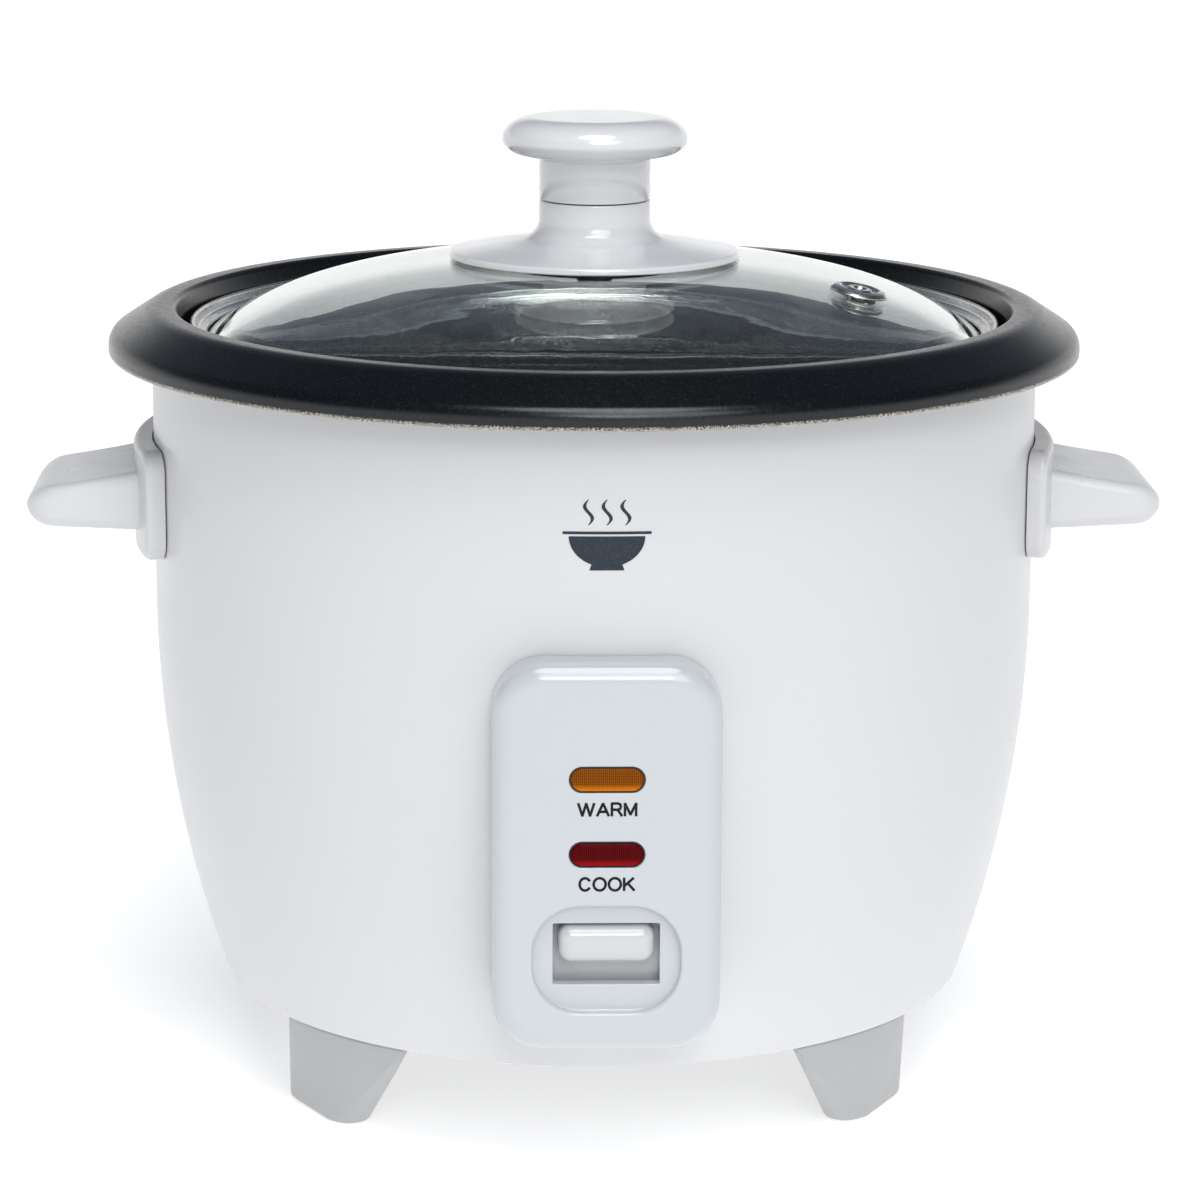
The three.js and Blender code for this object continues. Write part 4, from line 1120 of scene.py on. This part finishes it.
# ---- Mains inlet ----
def make_inlet():
    low, high = span("power_inlet")
    face, centre, bezel_edge = high.y, (low.z + high.z) / 2, 1.4

    def outline(inset):
        return rounded_rectangle(-25, 25, centre - 13, centre + 13, 6, inset, 9, 13)

    loops = []
    for share in (0.02, 0.25, 0.5, 0.75, 1.0):
        shrunk = [(x * share, centre + (z - centre) * share) for x, z in outline(0)]
        loops.append([(x, -casing_face(x, z), z) for x, z in shrunk])
    for inset, depth in quarter_round(bezel_edge, 6):
        loops.append([(x, face - depth, z) for x, z in outline(inset)])
    inlet = lofted("inlet_bezel", loops)
    tunnel = block("tunnel", (-14, low.y, centre - 10), (14, face - 3, centre + 10))
    boolean(inlet, "UNION", [tunnel])
    mouth = []
    flare = ((low.y + 1.8, 0), (face - 0.6, 0), (face - 0.2, -0.2), (face + 0.2, -0.7), (face + 3, -0.7))
    for y, inset in flare:
        opening = rounded_rectangle(-12.2, 12.2, centre - 8.2, centre + 8.2, 2.2, inset)
        mouth.append([(x, y, z) for x, z in opening])
    tools = [lofted("mouth", mouth)]
    for x in (-20, 20):
        place = Matrix.Translation((x, face, centre)) @ Matrix.Rotation(-math.pi / 2, 4, "X")
        sink = [(0, -30), (1.8, -30), (1.8, -2.4), (3.5, -2.4), (3.5, -0.4), (4.0, 0.1), (4.0, 5), (0, 5)]
        tools.append(turned("sink", sink, SMALL_SEGMENTS, place))
    for name in ("live", "neutral", "earth"):
        pin_low, pin_high = span("inlet_pin_" + name)
        slot_low = (pin_low.x - GAP, low.y - 2, pin_low.z - GAP)
        slot_high = (pin_high.x + GAP, low.y + 4, pin_high.z + GAP)
        tools.append(block("pin_slot", slot_low, slot_high))
    boolean(inlet, "DIFFERENCE", tools)
    flat_shading(inlet)
    settle(inlet, "housing", "dark_plastic", "power_inlet")
    for name in ("live", "neutral", "earth"):
        node = "inlet_pin_" + name
        pin_low, pin_high = span(node)
        pin = block("blade_" + name, pin_low, pin_high)
        soften(pin, 0.45, 3)
        settle(pin, "housing", "brass", node)


# ---- Coil springs, each built at one fixed length ----
def coil(name, radius, wire, bottom, top, turns):
    """A round wire wound about Z, its end turns laid flat against the seats."""
    steps = 40 * turns
    loops = []
    for share in (k / steps for k in range(steps + 1)):
        rise = share * share * (3 - 2 * share)
        angle = 2 * math.pi * turns * share
        outward = Vector((math.cos(angle), math.sin(angle), 0))
        middle = outward * radius + Vector((0, 0, bottom + wire + (top - bottom - 2 * wire) * rise))
        section = [2 * math.pi * i / 12 for i in range(12)]
        up = Vector((0, 0, 1))
        loops.append([middle + wire * (outward * math.cos(a) + up * math.sin(a)) for a in section])
    return lofted(name, loops)


def make_springs():
    seat, travel = span("ferrite_core")[0].z, joint_travel("magnet_rise")
    low, high = span("magnet_spring")
    room = joint_travel("sensor_press") + 0.2
    spring = coil("magnet_coil", high.x - 0.4, 0.4, low.z, seat - room, 3)
    settle(spring, "housing", "bright_steel", "magnet_spring")
    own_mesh(spring)

    low, high = span("cup_spring")
    travel = joint_travel("sensor_press")
    spring = coil("cup_coil", high.x - 0.5, 0.5, low.z, high.z, 2)
    settle(spring, "housing", "bright_steel", "cup_spring")
    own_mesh(spring)


def joint_travel(name):
    """The longer reach of a sliding joint from rest, in millimetres."""
    joints = {joint["name"]: joint for joint in frame["record"]["behaviour"]["joints"]}
    return max(abs(limit) for limit in joints[name]["range_m"]) / MM


# ---- Inner works that stay as the CAD made them ----
def dress_cad_nodes():
    slots = {part["node"]: part["material_slot"] for part in frame["record"]["subparts"]}
    for node, piece in frame["nodes"].items():
        piece.data.materials.clear()
        piece.data.materials.append(FINISHES[slots[node]])


# ---- Stage and light ----
# Heights in the tent are sines of elevation.
TENT_EDGE = (0.13, 0.4)
TENT_DIM = (0.14, 0.155, 0.19)
TENT_STRENGTH = 1.0
TENT_SIDES = 0.42
TENT_HORIZON = (0.02, 0.22)


def make_stage():
    size = 9000.0
    corners = [(-size, -size, 0), (size, -size, 0), (size, size, 0), (-size, size, 0)]
    floor = make_object("studio_floor", corners, [(0, 1, 2, 3)])
    floor.data.materials.append(FINISHES["stage_white"])


def soft_sun(name, azimuth, elevation, spread, strength):
    """A broad even light. Azimuth 0 is in front of the panel and 90 is on the object's right."""
    data = bpy.data.lights.new(name, "SUN")
    data.angle = math.radians(spread)
    data.energy = strength
    light = bpy.data.objects.new(name, data)
    SCENE.collection.objects.link(light)
    turn = Matrix.Rotation(math.radians(azimuth), 4, "Z")
    light.matrix_world = turn @ Matrix.Rotation(math.radians(90 - elevation), 4, "X")


def make_world():
    """A white tent, bright round the horizon and dim above it, so that the glass has both to reflect."""
    world = bpy.data.worlds.new("tent")
    world.use_nodes = True
    nodes, links = world.node_tree.nodes, world.node_tree.links
    direction = nodes.new("ShaderNodeTexCoord")
    split = nodes.new("ShaderNodeSeparateXYZ")
    ramp = nodes.new("ShaderNodeValToRGB")
    ramp.color_ramp.interpolation = "EASE"
    last = ramp.color_ramp.elements[1]
    last.position, last.color = TENT_EDGE[1], (*TENT_DIM, 1)
    first = ramp.color_ramp.elements[0]
    first.position, first.color = TENT_EDGE[0], (1, 1, 1, 1)
    links.new(direction.outputs["Generated"], split.inputs["Vector"])
    links.new(split.outputs["Z"], ramp.inputs["Fac"])
    links.new(ramp.outputs["Color"], nodes["Background"].inputs["Color"])
    forward = nodes.new("ShaderNodeMath")
    forward.operation = "ABSOLUTE"
    links.new(split.outputs["Y"], forward.inputs[0])
    sides = nodes.new("ShaderNodeMapRange")
    sides.inputs["From Min"].default_value = 0.35
    sides.inputs["From Max"].default_value = 0.9
    sides.inputs["To Min"].default_value = TENT_SIDES
    sides.inputs["To Max"].default_value = TENT_STRENGTH
    links.new(forward.outputs["Value"], sides.inputs["Value"])
    above = nodes.new("ShaderNodeMapRange")
    above.interpolation_type = "SMOOTHSTEP"
    above.inputs["From Min"].default_value = TENT_HORIZON[0]
    above.inputs["From Max"].default_value = TENT_HORIZON[1]
    above.inputs["To Min"].default_value = TENT_STRENGTH
    links.new(split.outputs["Z"], above.inputs["Value"])
    links.new(sides.outputs["Result"], above.inputs["To Max"])
    links.new(above.outputs["Result"], nodes["Background"].inputs["Strength"])
    SCENE.world = world


def make_light():
    make_world()
    soft_sun("key", 12, 38, 36, 0.95)
    soft_sun("kicker", 2, 30, 14, 0.25)
    soft_sun("top", 4, 70, 32, 1.25)
    SCENE.view_settings.view_transform = "Standard"


make_camera()
dress_cad_nodes()
make_casing()
make_liner()
make_heating_plate()
make_base()
make_screws()
make_pot()
make_lid()
make_knob()
make_panel()
make_lens("warm_lens", "amber_lens")
make_lens("cook_lens", "red_lens")
make_paddle()
make_legend("WARM", 80.9, 3.0, 11.7)
make_legend("COOK", 65.9, 3.0, 11.1)
make_emblem()
make_handle("handle_left", -1)
make_handle("handle_right", 1)
make_inlet()
make_springs()
make_stage()
make_light()
